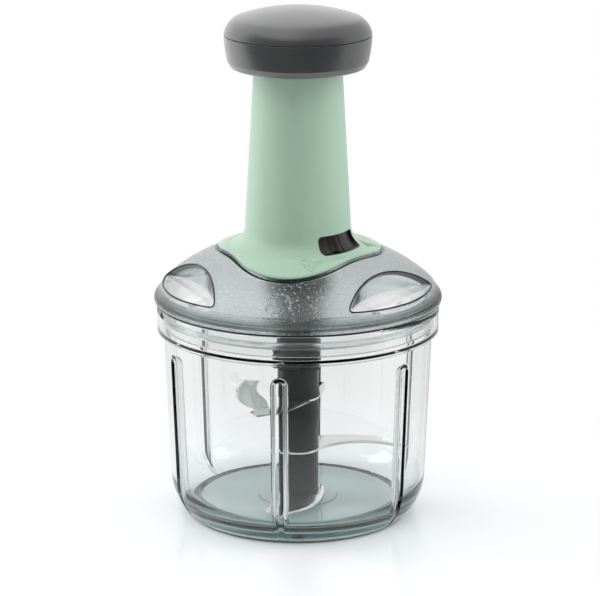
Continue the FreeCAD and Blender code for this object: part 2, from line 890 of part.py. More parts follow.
# Centre of the dome's arc, from the crease, the edge of the crown and the dome radius.
chord_x = s.crown_radius - s.crease_radius
chord_z = s.crown_height - crease_height
chord = root(chord_x * chord_x + chord_z * chord_z)
centre_depth = root(s.dome_radius * s.dome_radius - chord * chord / 4)
dome_x = (s.crown_radius + s.crease_radius) / 2 - chord_z / chord * centre_depth
dome_z = (s.crown_height + crease_height) / 2 + chord_x / chord * centre_depth


def dome_height(radius, lift):
    """Height of the dome's arc, lifted by this much, at a distance from the axis."""
    arc = s.dome_radius + lift
    run = size_of(radius) - dome_x
    return dome_z + root(arc * arc - run * run)


def dome_reach(height, lift):
    """Distance from the axis at which the lifted arc has this height."""
    arc = s.dome_radius + lift
    rise = size_of(height) - dome_z
    return dome_x + root(arc * arc - rise * rise)


crown_inside = s.crown_height - s.lid_wall
inside_crease = s.crease_radius - s.crease_wall
lid_outer_corners = [
    (s.lid_rim_radius - 0.1, lid_bottom),
    (s.lid_radius, lid_bottom + s.rim_roll_rise),
    (s.lid_rim_radius, lid_bottom + s.rim_roll_rise * 2),
    (s.crease_radius + s.shoulder_run, crease_height - s.shoulder_drop),
    (s.crease_radius, crease_height, s.dome_radius),
    (s.crown_radius, s.crown_height),
]
lid_shell_wall = turned("lid_wall", [(lid_inner, lid_bottom)] + lid_outer_corners + [
    (s.crown_hole_radius, s.crown_height),
    (s.crown_hole_radius, crown_inside),
    (dome_reach(crown_inside, -s.lid_wall), crown_inside, -(s.dome_radius - s.lid_wall)),
    (inside_crease, dome_height(inside_crease, -s.lid_wall)),
    (lid_inner, lid_bottom + s.inside_corner),
])
lid_solid = turned("lid_solid", [(0, lid_bottom)] + lid_outer_corners + [(0, s.crown_height)])


def scoop(name, angle, grow):
    """An eye-shaped hollow with an upright inner wall and a floor that falls outwards."""
    tip_radius = s.recess_outer_radius - s.recess_tip_inset + grow
    tip_x = tip_radius * cosine(s.recess_half_angle)
    tip_y = tip_radius * sine(s.recess_half_angle)
    peak = s.recess_inner_radius - grow
    bulge = tip_x - peak
    inner_arc = (tip_y * tip_y + bulge * bulge) / (bulge * 2)
    outer_bulge = s.recess_outer_radius + grow - tip_x
    outer_arc = (tip_y * tip_y + outer_bulge * outer_bulge) / (outer_bulge * 2)
    turn = math.radians(angle)
    plane = frame((math.cos(turn), math.sin(turn), 0), (-math.sin(turn), math.cos(turn), 0))
    eye_shape = extruded(name + "_eye", drawing(name + "_eye", plane, [
        (tip_x, -tip_y, outer_arc),
        (tip_x, tip_y, inner_arc),
    ], height=lid_bottom), s.crown_height)
    floor_inner = dome_height(s.recess_inner_radius, 0) - s.recess_floor_drop - grow
    floor_outer = floor_inner - s.recess_floor_fall
    overrun = s.recess_floor_fall * s.recess_margin / s.recess_width
    near = s.recess_inner_radius - s.recess_margin
    far = s.recess_inner_radius + s.recess_width + s.recess_margin
    roof = s.crown_height + s.recess_margin
    side = drawing(name + "_floor", radial_plane(angle), [
        (near, floor_inner + overrun),
        (far, floor_outer - overrun),
        (far, roof),
        (near, roof),
    ])
    return common(name, [eye_shape, extruded(name + "_slab", side, s.lid_radius * 1.4, both_ways=True)])


blocks = []
scoops = []
for third in range(3):
    scoop_angle = -30 + 120 * third
    blocks.append(scoop(f"block_{third}", scoop_angle, s.recess_wall))
    scoops.append(scoop(f"scoop_{third}", scoop_angle, size_of(0)))
block_set = common("block_set", [fuse("block_group", blocks), lid_solid])

BOSS_ANGLES = (-95.0, 25.0, 145.0)
screw_bores = [
    cylinder(f"lid_bore_{index}", s.screw_radius + s.screw_fit + 0.2, crown_inside - 1, s.crown_height + 1,
             around(s.boss_circle, angle))
    for index, angle in enumerate(BOSS_ANGLES)
]
for side in range(2):
    lugs.append(rim_wedge(
        f"lug_{side}", NOTCH_ANGLES[side], lug_near, lug_far, lug_far,
        lug_step, lug_deep, lid_bottom + 1, lid_inner, s.collar_radius - 0.1))
lid_whole = fuse("lid_whole", [lid_shell_wall, block_set] + lugs)
node("lid_shell", cut("lid_shell_cut", lid_whole, scoops + screw_bores))

# Inner cover: closes the lid from below, with a skirt that carries the gasket inside the collar.
cover_bottom = lid_bottom + s.cover_rise
cover_top = cover_bottom + s.cover_thickness
skirt_outer = collar_inner - s.skirt_gap
groove_top = s.gasket_bottom + s.gasket_height + s.gasket_play
groove_bottom = s.gasket_bottom - s.gasket_play
groove_floor = skirt_outer - s.gasket_groove_depth
node("inner_cover", turned("inner_cover_body", [
    (s.socket_radius + s.cover_hole_gap, cover_bottom),
    (skirt_outer - s.skirt_thickness, cover_bottom),
    (skirt_outer - s.skirt_thickness, s.skirt_bottom),
    (skirt_outer, s.skirt_bottom),
    (skirt_outer, groove_bottom),
    (groove_floor, groove_bottom),
    (groove_floor, groove_top),
    (skirt_outer, groove_top),
    (skirt_outer, cover_bottom),
    (lid_inner - s.cover_gap, cover_bottom),
    (lid_inner - s.cover_gap, cover_top),
    (s.socket_radius + s.cover_hole_gap, cover_top),
]))

# Gasket: a silicone ring that lies in the skirt's groove and just clears the collar.
gasket_inner = groove_floor + s.gasket_fit
gasket_outer = collar_inner - s.gasket_fit
node("lid_gasket", turned("lid_gasket_body", [
    (gasket_inner, s.gasket_bottom),
    (gasket_outer - s.gasket_bevel, s.gasket_bottom),
    (gasket_outer, s.gasket_bottom + s.gasket_bevel),
    (gasket_outer, s.gasket_bottom + s.gasket_height - s.gasket_bevel),
    (gasket_outer - s.gasket_bevel, s.gasket_bottom + s.gasket_height),
    (gasket_inner, s.gasket_bottom + s.gasket_height),
]))

# Column shell: a tapered tube whose foot flares out and lies on the lid as a three-lobed skirt.
shell_bottom = s.crown_height + s.skirt_seat
floor_top = shell_bottom + s.shell_floor
skirt_start = dome_height(s.flare_end_radius, s.skirt_lift)
bush_bottom = s.column_shell_top - s.bush_length
counterbore = s.column_shell_top - s.bush_flange
shell_top_inner = s.shell_top_radius - s.column_wall
shell_low_inner = s.shell_low_radius - s.column_wall
flare_inner = s.flare_radius + s.column_wall
floor_edge = s.shell_low_radius + s.floor_run
shell_hole = s.tube_radius + s.tube_room
skirt_reach = s.foot_mean + s.foot_push + s.foot_oval + s.foot_lobes + s.foot_corners + s.foot_margin
mouth_radius = s.shell_top_radius - s.bush_lip + 0.1
shell_blank = turned("shell_blank", [
    (shell_hole, shell_bottom),
    (dome_reach(shell_bottom, s.skirt_seat), shell_bottom, -(s.dome_radius + s.skirt_seat)),
    (skirt_reach, dome_height(skirt_reach, s.skirt_seat)),
    (skirt_reach, dome_height(skirt_reach, s.skirt_lift), s.dome_radius + s.skirt_lift),
    (s.flare_end_radius, skirt_start, -s.flare_radius),
    (s.shell_low_radius, s.flare_start),
    (s.shell_top_radius, s.column_shell_top),
    (mouth_radius, s.column_shell_top),
    (mouth_radius, counterbore),
    (shell_top_inner, counterbore),
    (shell_low_inner, s.flare_start, flare_inner),
    (floor_edge, floor_top),
    (shell_hole, floor_top),
])

# The edge of the skirt is a wide lobe in front and a shorter one on each side, joined by hollows.
FRONT_ANGLE = -90.0
foot_waves = (s.foot_push, s.foot_oval, s.foot_lobes, s.foot_corners)
lobe_points = []
for step in range(36):
    from_front = math.radians(10.0 * step)
    reach = s.foot_mean.number
    for count, wave in enumerate(foot_waves, start=1):
        reach += wave.number * math.cos(count * from_front)
    turn = math.radians(FRONT_ANGLE) + from_front
    lobe_points.append(FreeCAD.Vector(reach * math.cos(turn), reach * math.sin(turn), 0))
edge_curve = Part.BSplineCurve()
edge_curve.interpolate(lobe_points, PeriodicFlag=True)
lobe_plate = Part.Face(Part.Wire(edge_curve.toShape()))
lobe_plate.translate(FreeCAD.Vector(0, 0, lid_bottom.number))
lobe_solid = shaped("lobe_solid", lobe_plate.extrude(FreeCAD.Vector(0, 0, s.column_shell_top.number)))
shell_lobed = common("shell_lobed", [shell_blank, lobe_solid])
bosses = []
pilots = []
for index, angle in enumerate(BOSS_ANGLES):
    place = around(s.boss_circle, angle)
    bosses.append(cylinder(
        f"shell_boss_{index}", s.boss_radius, shell_bottom, shell_bottom + s.boss_height, place))
    pilots.append(cylinder(
        f"shell_pilot_{index}", s.screw_radius, shell_bottom - 1, shell_bottom + s.boss_height - 1, place))
flare_centre = s.flare_radius + s.shell_low_radius
flare_level = s.flare_start - s.flare_drop


def flare_band(name, outward, inward, bottom, top, start, sweep):
    """A ring sector that follows the flare, between two distances behind its face."""
    near = s.flare_radius + outward
    far = s.flare_radius + inward
    centre = flare_centre

    def reach(arc, height):
        drop = size_of(height) - flare_level
        return centre - root(arc * arc - drop * drop)

    return sector(name, [
        (reach(far, bottom), bottom),
        (reach(near, bottom), bottom, -near),
        (reach(near, top), top),
        (reach(far, top), top, far),
    ], start, sweep)


slider_middle = s.lock_angle - s.lock_travel / 2
slide_room = s.lock_travel + s.slider_end_gap * 2
channel = flare_band(
    "slider_channel", s.channel_wall, s.channel_wall + s.slider_thickness + s.channel_room,
    shell_bottom - 0.4, s.slider_top + 0.4,
    slider_middle - s.slider_half - s.slider_end_gap, s.slider_half * 2 + slide_room)
bolt_path_top = s.bolt_bottom + s.bolt_height + s.bolt_room
bolt_path = sector(
    "bolt_path", rectangle(shell_hole - 1, s.bolt_bottom - s.bolt_room, floor_edge, bolt_path_top),
    slider_middle - s.bolt_half - s.slider_end_gap, s.bolt_half * 2 + slide_room)
window = sector(
    "window", rectangle(s.shell_low_radius - 6, s.window_bottom, s.flare_end_radius + 4, s.window_top),
    s.lock_angle - s.window_half, s.window_half * 2)
shell_whole = fuse("shell_whole", [shell_lobed] + bosses)
node("column_shell", cut("column_shell_cut", shell_whole, [channel, window, bolt_path] + pilots))

# Lock slider: a curved plate behind the window, with a thumb ridge outside and a bolt inside.
plate = flare_band(
    "slider_plate", s.channel_wall + s.slider_fit, s.channel_wall + s.slider_fit + s.slider_thickness,
    s.slider_bottom, s.slider_top, slider_middle - s.slider_half, s.slider_half * 2)
ridge = flare_band(
    "slider_ridge", s.channel_wall - s.thumb_rise, s.channel_wall + s.slider_fit + 0.5,
    s.window_bottom + 0.4, s.window_top - 0.6, slider_middle - s.thumb_half, s.thumb_half * 2)
bolt_nose = s.tube_radius + s.bolt_gap
bolt = sector(
    "slider_bolt", rectangle(
        bolt_nose, s.bolt_bottom, floor_edge - s.bolt_root, s.bolt_bottom + s.bolt_height),
    slider_middle - s.bolt_half, s.bolt_half * 2)
node("lock_slider", fuse("lock_slider_whole", [plate, ridge, bolt]))

# Guide bush in the mouth of the column.
bush_inner = s.tube_radius + s.bush_fit
node("top_bush", turned("top_bush_body", [
    (bush_inner, bush_bottom),
    (shell_top_inner - s.bush_seat, bush_bottom),
    (shell_top_inner - s.bush_seat, counterbore),
    (s.shell_top_radius - s.bush_lip, counterbore),
    (s.shell_top_radius - s.bush_lip, s.column_shell_top),
    (bush_inner, s.column_shell_top),
]))

# Plunger tube: slides in the bush, with a stop ring below and a flange for the knob above.
knob_bottom = s.column_shell_top + s.knob_gap
knob_floor_top = knob_bottom + s.knob_floor
flange_bottom = knob_floor_top + s.knob_boss_height
flange_top = flange_bottom + s.flange_thickness
holder_top = flange_top + s.flange_thickness
tube_inner = s.tube_radius - s.tube_wall
stop_top = bush_bottom - s.stroke - s.stop_gap
tube_blank = turned("tube_blank", [
    (tube_inner, s.tube_bottom),
    (s.tube_radius, s.tube_bottom),
    (s.tube_radius, stop_top - s.stop_height),
    (s.stop_radius, stop_top - s.stop_height),
    (s.stop_radius, stop_top),
    (s.tube_radius, stop_top),
    (s.tube_radius, flange_bottom),
    (s.flange_radius, flange_bottom),
    (s.flange_radius, flange_top),
    (tube_inner, flange_top),
])
slot_top = s.bolt_bottom + s.bolt_height + s.slot_clear
slot_low = sector(
    "lock_slot", rectangle(tube_inner - 1, s.bolt_bottom - s.slot_clear, s.tube_radius + 1, slot_top),
    slider_middle - s.bolt_half - 1, s.bolt_half * 2 + s.lock_travel + 2)
slot_open = sector(
    "lock_slot_mouth", rectangle(tube_inner - 1, s.tube_bottom - 1, s.tube_radius + 1, slot_top),
    slider_middle + s.lock_travel - s.bolt_half - 1, s.bolt_half * 2 + 2)
KNOB_SCREW_ANGLES = (-60.0, 60.0, 180.0)
flange_bores = [
    cylinder(f"flange_bore_{index}", s.screw_radius + s.screw_fit, flange_bottom - 1, holder_top + 1,
             around(s.knob_boss_circle, angle))
    for index, angle in enumerate(KNOB_SCREW_ANGLES)
]
node("plunger_tube", cut("plunger_tube_cut", tube_blank, [slot_low, slot_open] + flange_bores))

# Knob: a skirt and a cap that meet at a fine seam. The cap's lip sits inside the skirt.
skirt_inner = s.knob_radius - s.knob_wall
knob_hole = s.tube_radius + s.tube_room - 0.1
skirt_blank = turned("knob_skirt_blank", [
    (knob_hole, knob_bottom),
    (s.knob_radius - s.knob_foot_inset, knob_bottom),
    (s.knob_radius - s.knob_edge_inset, knob_bottom + s.knob_foot_rise),
    (s.knob_radius - s.knob_side_inset, knob_bottom + s.knob_side_rise, s.knob_side_round),
    (s.knob_radius, s.knob_seam),
    (skirt_inner, s.knob_seam),
    (skirt_inner, s.knob_seam - s.cap_lip_depth - s.cap_lip_gap * 2),
    (s.knob_radius - s.knob_side_inset - s.knob_wall, knob_bottom + s.knob_side_rise),
    (s.knob_radius - s.knob_inside_inset, knob_floor_top),
    (knob_hole, knob_floor_top),
])
knob_bosses = []
knob_pilots = []
for index, angle in enumerate(KNOB_SCREW_ANGLES):
    place = around(s.knob_boss_circle, angle)
    knob_bosses.append(cylinder(
        f"knob_boss_{index}", s.knob_boss_radius, knob_bottom + 0.5, flange_bottom, place))
    knob_pilots.append(cylinder(
        f"knob_pilot_{index}", s.screw_radius, knob_bottom + 1.2, flange_bottom + 1, place))
knob_skirt_whole = fuse("knob_skirt_whole", [skirt_blank] + knob_bosses)
node("knob_skirt", cut("knob_skirt_cut", knob_skirt_whole, knob_pilots))

cap_bottom = s.knob_seam + s.seam_gap
shoulder = s.knob_top - s.knob_shoulder_drop
shoulder_square = s.knob_shoulder_radius * s.knob_shoulder_radius
crown_arc = (shoulder_square / s.knob_shoulder_drop + s.knob_shoulder_drop) / 2
lip_outer = skirt_inner - s.cap_lip_gap
lip_inner = lip_outer - s.cap_lip_wall
lip_bottom = s.knob_seam - s.cap_lip_depth
inner_shoulder = s.knob_shoulder_radius - 1.0
inner_crown = crown_arc - s.knob_wall
inner_shoulder_height = s.knob_top - crown_arc + root(
    inner_crown * inner_crown - inner_shoulder * inner_shoulder)
node("knob_cap", turned("knob_cap_body", [
    (lip_inner, lip_bottom),
    (lip_outer, lip_bottom),
    (lip_outer, cap_bottom),
    (s.knob_radius, cap_bottom, s.knob_corner),
    (s.knob_shoulder_radius, shoulder, crown_arc),
    (0, s.knob_top),
    (0, s.knob_top - s.knob_wall, -inner_crown),
    (inner_shoulder, inner_shoulder_height),
    (lip_inner, cap_bottom + 0.8),
]))

# Rod holder: a flanged plug in the plunger tube, with a long post that reaches down to the rod.
plug_bottom = flange_top - s.holder_seat
rod_top = s.holder_bottom + s.rod_straight
holder_blank = turned("holder_blank", [
    (0, s.holder_bottom),
    (s.holder_radius, s.holder_bottom),
    (s.holder_radius, plug_bottom),
    (tube_inner - s.plug_gap, plug_bottom),
    (tube_inner - s.plug_gap, flange_top),
    (s.flange_radius, flange_top),
    (s.flange_radius, holder_top),
    (0, holder_top),
])
half_thick = s.rod_thickness / 2
slot = extruded("rod_slot", drawing("rod_slot", FLAT, rectangle(
    -(half_wide + 0.05), -(half_thick + 0.05), half_wide + 0.05, half_thick + 0.05
), height=s.holder_bottom - 1), s.rod_straight + 1)
pin_height_in_rod = s.holder_bottom + s.rod_pin_rise


def cross_pin(name, radius, length):
    """A level pin across the flat faces of the rod."""
    pin = doc.addObject("Part::Cylinder", name)
    bind(pin, "Radius", radius)
    bind(pin, "Height", length)
    pin.Placement = FreeCAD.Placement(
        FreeCAD.Vector(0, length.number / 2, pin_height_in_rod.number),
        FreeCAD.Rotation(FreeCAD.Vector(1, 0, 0), 90))
    pin.setExpression("Placement.Base.y", (length / 2).formula)
    pin.setExpression("Placement.Base.z", pin_height_in_rod.formula)
    return pin


pin_length = s.holder_radius * 2 - 0.6
holder_bore = cross_pin("holder_bore", s.rod_pin_radius, pin_length + 4)
holder_flange_bores = [
    cylinder(f"holder_bore_{index}", s.screw_radius + s.screw_fit, flange_bottom - 1, holder_top + 1,
             around(s.knob_boss_circle, angle))
    for index, angle in enumerate(KNOB_SCREW_ANGLES)
]
node("rod_holder", cut("rod_holder_cut", holder_blank, [slot, holder_bore] + holder_flange_bores))


def twisted_strip(name, width, thickness, bottom, top):
    """A strip that winds one turn in each lead, and lies straight where the holder starts."""
    step = s.rod_lead.number / 20
    count = max(2, round((top - bottom) / step))
    sections = []
    for index in range(count + 1):
        height = bottom + (top - bottom) * index / count
        angle = math.radians(360 * (height - s.holder_bottom.number) / s.rod_lead.number)
        points = []
        for across, along in ((1, 1), (-1, 1), (-1, -1), (1, -1)):
            x, y = across * width / 2, along * thickness / 2
            points.append(FreeCAD.Vector(
                x * math.cos(angle) - y * math.sin(angle),
                x * math.sin(angle) + y * math.cos(angle),
                height))
        sections.append(Part.makePolygon(points + points[:1]))
    return shaped(name, Part.makeLoft(sections, True, True))


twist = twisted_strip(
    "rod_twist", s.rod_width.number, s.rod_thickness.number, s.rod_bottom.number, s.holder_bottom.number)
straight = extruded("rod_straight", drawing("rod_straight", FLAT, rectangle(
    -half_wide, -half_thick, half_wide, half_thick), height=s.holder_bottom), s.rod_straight - 0.1)
node("spiral_rod", cut("spiral_rod_cut", fuse("spiral_rod_whole", [twist, straight]), [
    cross_pin("rod_bore", s.rod_pin_radius, pin_length)]))
node("rod_pin", cross_pin("rod_pin_body", s.rod_pin_radius, pin_length))


def screw(name, place, seat, length, upward):
    """A pan head screw. Upward means that its head lies below the seat and its shank rises."""
    if upward:
        head = cylinder(name + "_head", s.screw_head_radius, seat - s.screw_head_height, seat, place)
        shank = cylinder(name + "_shank", s.screw_radius, seat - 0.5, seat + length, place)
    else:
        head = cylinder(name + "_head", s.screw_head_radius, seat, seat + s.screw_head_height, place)
        shank = cylinder(name + "_shank", s.screw_radius, seat - length, seat + 0.5, place)
    return fuse(name, [head, shank])


knob_screw_set = [
    screw(f"knob_screw_{index}", around(s.knob_boss_circle, angle), holder_top,
          s.knob_boss_height + 2, False)
    for index, angle in enumerate(KNOB_SCREW_ANGLES)
]
node("knob_screws", fuse("knob_screw_set", knob_screw_set))

# Drive housing: hangs under the crown of the lid and holds the nut, the clutch and the socket.
housing_top = crown_inside
housing_inner = s.housing_radius - s.housing_wall
housing_floor_top = s.housing_bottom + s.housing_floor
housing_blank = turned("housing_blank", [
    (s.socket_radius + s.socket_fit, s.housing_bottom),
    (s.housing_radius, s.housing_bottom),
    (s.housing_radius, housing_top - s.housing_flange),
    (s.housing_flange_radius, housing_top - s.housing_flange),
    (s.housing_flange_radius, housing_top),
    (housing_inner, housing_top),
    (housing_inner, housing_floor_top),
    (s.socket_radius + s.socket_fit, housing_floor_top),
])
housing_bores = [
    cylinder(f"housing_bore_{index}", s.screw_radius + s.screw_fit, housing_top - s.housing_flange - 1,
             housing_top + 1, around(s.boss_circle, angle))
    for index, angle in enumerate(BOSS_ANGLES)
]
node("drive_housing", cut("drive_housing_cut", housing_blank, housing_bores))
housing_screw_set = [
    screw(f"housing_screw_{index}", around(s.boss_circle, angle), housing_top - s.housing_flange,
          s.housing_flange + s.lid_wall + s.boss_height - 2.5, True)
    for index, angle in enumerate(BOSS_ANGLES)
]
node("housing_screws", fuse("housing_screw_set", housing_screw_set))

# Bearing cap, washers and the parts that turn between them, from the bottom up.
washer_bottom = housing_floor_top + s.washer_gap / 2
washer_top = washer_bottom + s.washer_thickness
socket_flange_bottom = washer_top + s.washer_gap
socket_flange_top = socket_flange_bottom + s.socket_flange
tooth_top = socket_flange_top + s.tooth_height
clutch_bottom = tooth_top + s.tooth_gap
clutch_top = clutch_bottom + s.clutch_thickness
rod_bore = half_wide + s.rod_bore_gap
cap_top = s.crown_height - 0.1
cap_seat = crown_inside + 0.05
nut_top = cap_seat - s.nut_drop
nut_flange_bottom = nut_top - s.nut_flange
nut_bottom = clutch_bottom + 0.1
upper_washer_bottom = nut_top + s.washer_gap / 2
upper_washer_top = upper_washer_bottom + s.washer_thickness

node("lower_washer", turned("lower_washer_body", rectangle(
    s.socket_radius + s.socket_fit * 2, washer_bottom, s.socket_flange_radius + 0.4, washer_top)))
node("upper_washer", turned("upper_washer_body", rectangle(
    half_wide + 2.5, upper_washer_bottom, s.nut_flange_radius - 0.4, upper_washer_top)))
node("bearing_cap", turned("bearing_cap_body", [
    (rod_bore, upper_washer_top + s.washer_gap / 2),
    (housing_inner - 0.3, upper_washer_top + s.washer_gap / 2),
    (housing_inner - 0.3, cap_seat),
    (s.crown_hole_radius - 0.2, cap_seat),
    (s.crown_hole_radius - 0.2, cap_top),
    (rod_bore, cap_top),
]))

nut_blank = turned("nut_blank", [
    (rod_bore, nut_bottom),
    (s.hub_radius, nut_bottom),
    (s.hub_radius, nut_flange_bottom),
    (s.nut_flange_radius, nut_flange_bottom),
    (s.nut_flange_radius, nut_top),
    (0, nut_top),
    (0, nut_top - s.nut_grip),
    (rod_bore, nut_top - s.nut_grip),
])


def spoke_block(name, angle, inner, outer, width, bottom, top):
    """A block whose length runs outwards from the axis."""
    turn = math.radians(angle)
    plane = frame((math.cos(turn), math.sin(turn), 0), (-math.sin(turn), math.cos(turn), 0))
    sketch = drawing(name, plane, rectangle(inner, -(width / 2), outer, width / 2), height=bottom)
    return extruded(name, sketch, top - bottom)


splines = [
    spoke_block(f"nut_spline_{index}", 90 * index, s.hub_radius - 1, s.spline_radius, s.spline_width,
                nut_bottom, nut_flange_bottom + 0.5)
    for index in range(4)
]
nut_slot = twisted_strip(
    "nut_slot", (s.rod_width + s.rod_fit * 2).number, (s.rod_thickness + s.rod_fit * 2).number,
    (nut_top - s.nut_grip - 0.5).number, (nut_top + 0.5).number)
node("drive_nut", cut("drive_nut_cut", fuse("nut_whole", [nut_blank] + splines), [nut_slot]))


def tooth(name, angle, level, height):
    """A ratchet tooth with one upright face and one sloping face."""
    half = s.tooth_width / 2
    profile = [(-half, level), (half, level), (half, level + height)]
    if height.number < 0:
        profile = [(-half, level), (-half, level + height), (half, level)]
    wedge = extruded(name + "_wedge", drawing(name, facing_plane(angle), profile), s.clutch_radius + 4)
    low = level - 2 * s.tooth_height
    band = cylinder(name + "_outer", s.clutch_radius, low, level + 2 * s.tooth_height)
    hollow = cylinder(name + "_inner", s.tooth_inner_radius, low - 1, level + 2 * s.tooth_height + 1)
    return common(name, [wedge, cut(name + "_band", band, [hollow])])


ring_inner = s.hub_radius + s.clutch_fit * 2
clutch_blank = turned("clutch_blank", rectangle(ring_inner, clutch_bottom, s.clutch_radius, clutch_top))
clutch_teeth = [
    tooth(f"clutch_tooth_{index}", 45 * index + 22.5, clutch_bottom + 0.2, -(s.tooth_height + 0.1))
    for index in range(8)
]
clutch_notches = [
    spoke_block(f"clutch_notch_{index}", 90 * index, s.hub_radius - 1, s.spline_radius + s.clutch_fit,
                s.spline_width + s.clutch_fit * 2, clutch_bottom - 3, clutch_top + 1)
    for index in range(4)
]
clutch_whole = fuse("clutch_whole", [clutch_blank] + clutch_teeth)
node("clutch_ring", cut("clutch_ring_cut", clutch_whole, clutch_notches))

cup_top = s.socket_bottom + s.cup_depth
socket_blank = turned("socket_blank", [
    (s.cup_radius, s.socket_bottom),
    (s.socket_radius, s.socket_bottom),
    (s.socket_radius, socket_flange_bottom),
    (s.socket_flange_radius, socket_flange_bottom),
    (s.socket_flange_radius, socket_flange_top),
    (s.socket_bore, socket_flange_top),
    (s.socket_bore, cup_top),
    (s.cup_radius, cup_top),
])
socket_teeth = [
    tooth(f"socket_tooth_{index}", 45 * index, socket_flange_top - 0.2, s.tooth_height + 0.2)
    for index in range(8)
]
socket_ribs = [
    sector(f"socket_rib_{index}", rectangle(
        s.socket_rib_radius, s.socket_bottom + 0.5, s.cup_radius + 0.5, cup_top),
        120 * index + s.socket_rib_shift - s.socket_rib_sweep / 2, s.socket_rib_sweep)
    for index in range(3)
]
socket_fins = []
for row in range(3):
    fin_bottom = s.socket_bottom + s.fin_pitch * row
    fin_section = rectangle(s.socket_radius - 0.5, fin_bottom, s.fin_radius, fin_bottom + s.fin_thickness)
    for third in range(3):
        socket_fins.append(sector(
            f"socket_fin_{row}_{third}", fin_section, 120 * third + s.fin_start, s.fin_sweep))
node("drive_socket", fuse("drive_socket_whole", [socket_blank] + socket_teeth + socket_ribs + socket_fins))


def coil(name, mean_radius, wire, turns, bottom, top):
    """A spring as one tube along a chain of arc pairs, each pair half a turn of its helix."""
    low = bottom + wire
    rise = top - wire - low
    halves = round(turns * 2)
    slope = rise / (turns * 2 * math.pi * mean_radius)
    arcs = []
    samples = []

    def on_helix(half):
        angle = math.pi * half
        place = FreeCAD.Vector(
            mean_radius * math.cos(angle), mean_radius * math.sin(angle), low + rise * half / halves)
        heading = FreeCAD.Vector(-math.sin(angle), math.cos(angle), slope).normalize()
        return place, heading

    def arc_from(start, corner, end):
        middle = (start + end) * 0.5
        half_chord = (end - start).Length / 2
        bend = (corner - start).getAngle(end - start)
        top_point = middle + (corner - middle).normalize() * (half_chord * math.tan(bend / 2))
        samples.append(top_point)
        return Part.Arc(start, top_point, end).toShape()

    for half in range(halves):
        start, start_heading = on_helix(half)
        end, end_heading = on_helix(half + 1)
        span = end - start
        both = start_heading + end_heading
        square = 4 - both.dot(both)
        reach = (-span.dot(both) + math.sqrt(span.dot(both) ** 2 + square * span.dot(span))) / square
        first_corner = start + start_heading * reach
        second_corner = end - end_heading * reach
        joint = (first_corner + second_corner) * 0.5
        arcs.append(arc_from(start, first_corner, joint))
        arcs.append(arc_from(joint, second_corner, end))
    start, heading = on_helix(0)
    section = Part.Wire(Part.Circle(start, heading, wire / 2).toShape())
    tube = Part.Wire(arcs).makePipeShell([section], True, False)
    pitch = rise / turns
    print(f"{name}: least gap between turns {pitch * math.cos(math.atan(slope)) - wire:.2f} mm")
    return shaped(name, tube)


node("return_spring", coil(
    "return_spring_wire", s.spring_radius.number, s.spring_wire.number, s.spring_turns.number,
    (cap_top + s.spring_seat).number - s.spring_wire.number / 2,
    (plug_bottom - s.spring_seat).number + s.spring_wire.number / 2))
node("clutch_spring", coil(
    "clutch_spring_wire_coil", s.clutch_spring_radius.number, s.clutch_spring_wire.number,
    s.clutch_spring_turns.number,
    (clutch_top + 0.1).number - s.clutch_spring_wire.number / 2,
    (nut_flange_bottom - 0.1).number + s.clutch_spring_wire.number / 2))

doc.recompute()
for thing in doc.Objects:
    if "Invalid" in thing.State or "Error" in thing.State:
        raise RuntimeError(f"{thing.Label} did not compute: {thing.State}")
os.makedirs("parts", exist_ok=True)
for name, piece in NODES.items():
    shape = piece.Shape
    if shape.isNull() or not shape.isValid() or not shape.Solids:
        raise RuntimeError(f"{name} has no valid solid")
    solids = len(shape.Solids)
    box = shape.BoundBox
    print(f"{name}: {solids} solid(s), {shape.Volume:.0f} mm3, z {box.ZMin:.2f} to {box.ZMax:.2f}")
for name, piece in NODES.items():
    piece.Shape.exportStep(f"parts/{name}.step")
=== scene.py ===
import math

import bmesh
import bpy
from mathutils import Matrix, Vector


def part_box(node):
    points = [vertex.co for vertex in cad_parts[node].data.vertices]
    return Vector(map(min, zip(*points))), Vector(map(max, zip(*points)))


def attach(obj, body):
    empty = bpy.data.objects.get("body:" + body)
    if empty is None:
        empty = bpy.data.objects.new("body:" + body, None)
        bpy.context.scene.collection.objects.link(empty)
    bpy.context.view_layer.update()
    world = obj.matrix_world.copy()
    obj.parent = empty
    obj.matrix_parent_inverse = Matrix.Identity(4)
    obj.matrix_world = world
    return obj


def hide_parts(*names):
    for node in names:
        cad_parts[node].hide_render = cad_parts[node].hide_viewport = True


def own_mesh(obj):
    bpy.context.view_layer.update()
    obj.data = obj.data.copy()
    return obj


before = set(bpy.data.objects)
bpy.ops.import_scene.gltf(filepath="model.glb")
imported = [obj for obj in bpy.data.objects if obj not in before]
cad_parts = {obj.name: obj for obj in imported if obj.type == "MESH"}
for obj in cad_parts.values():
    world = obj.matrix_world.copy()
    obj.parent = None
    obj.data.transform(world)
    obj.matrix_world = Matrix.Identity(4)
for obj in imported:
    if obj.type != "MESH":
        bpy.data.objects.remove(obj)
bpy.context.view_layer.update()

# Studio
# The chopper stands on a white lacquered table in a white room, under three soft lamps. The room is
# darker behind the camera and, in reflections, on the right. Dark cards far out at both sides and the
# darker front of the table draw the edges of the clear parts.


def linear(code):
    """An sRGB hex colour as the linear colour that a shader takes."""
    parts = [int(code[start:start + 2], 16) / 255 for start in (0, 2, 4)]
    return (*[part / 12.92 if part <= 0.04045 else ((part + 0.055) / 1.055) ** 2.4 for part in parts], 1.0)


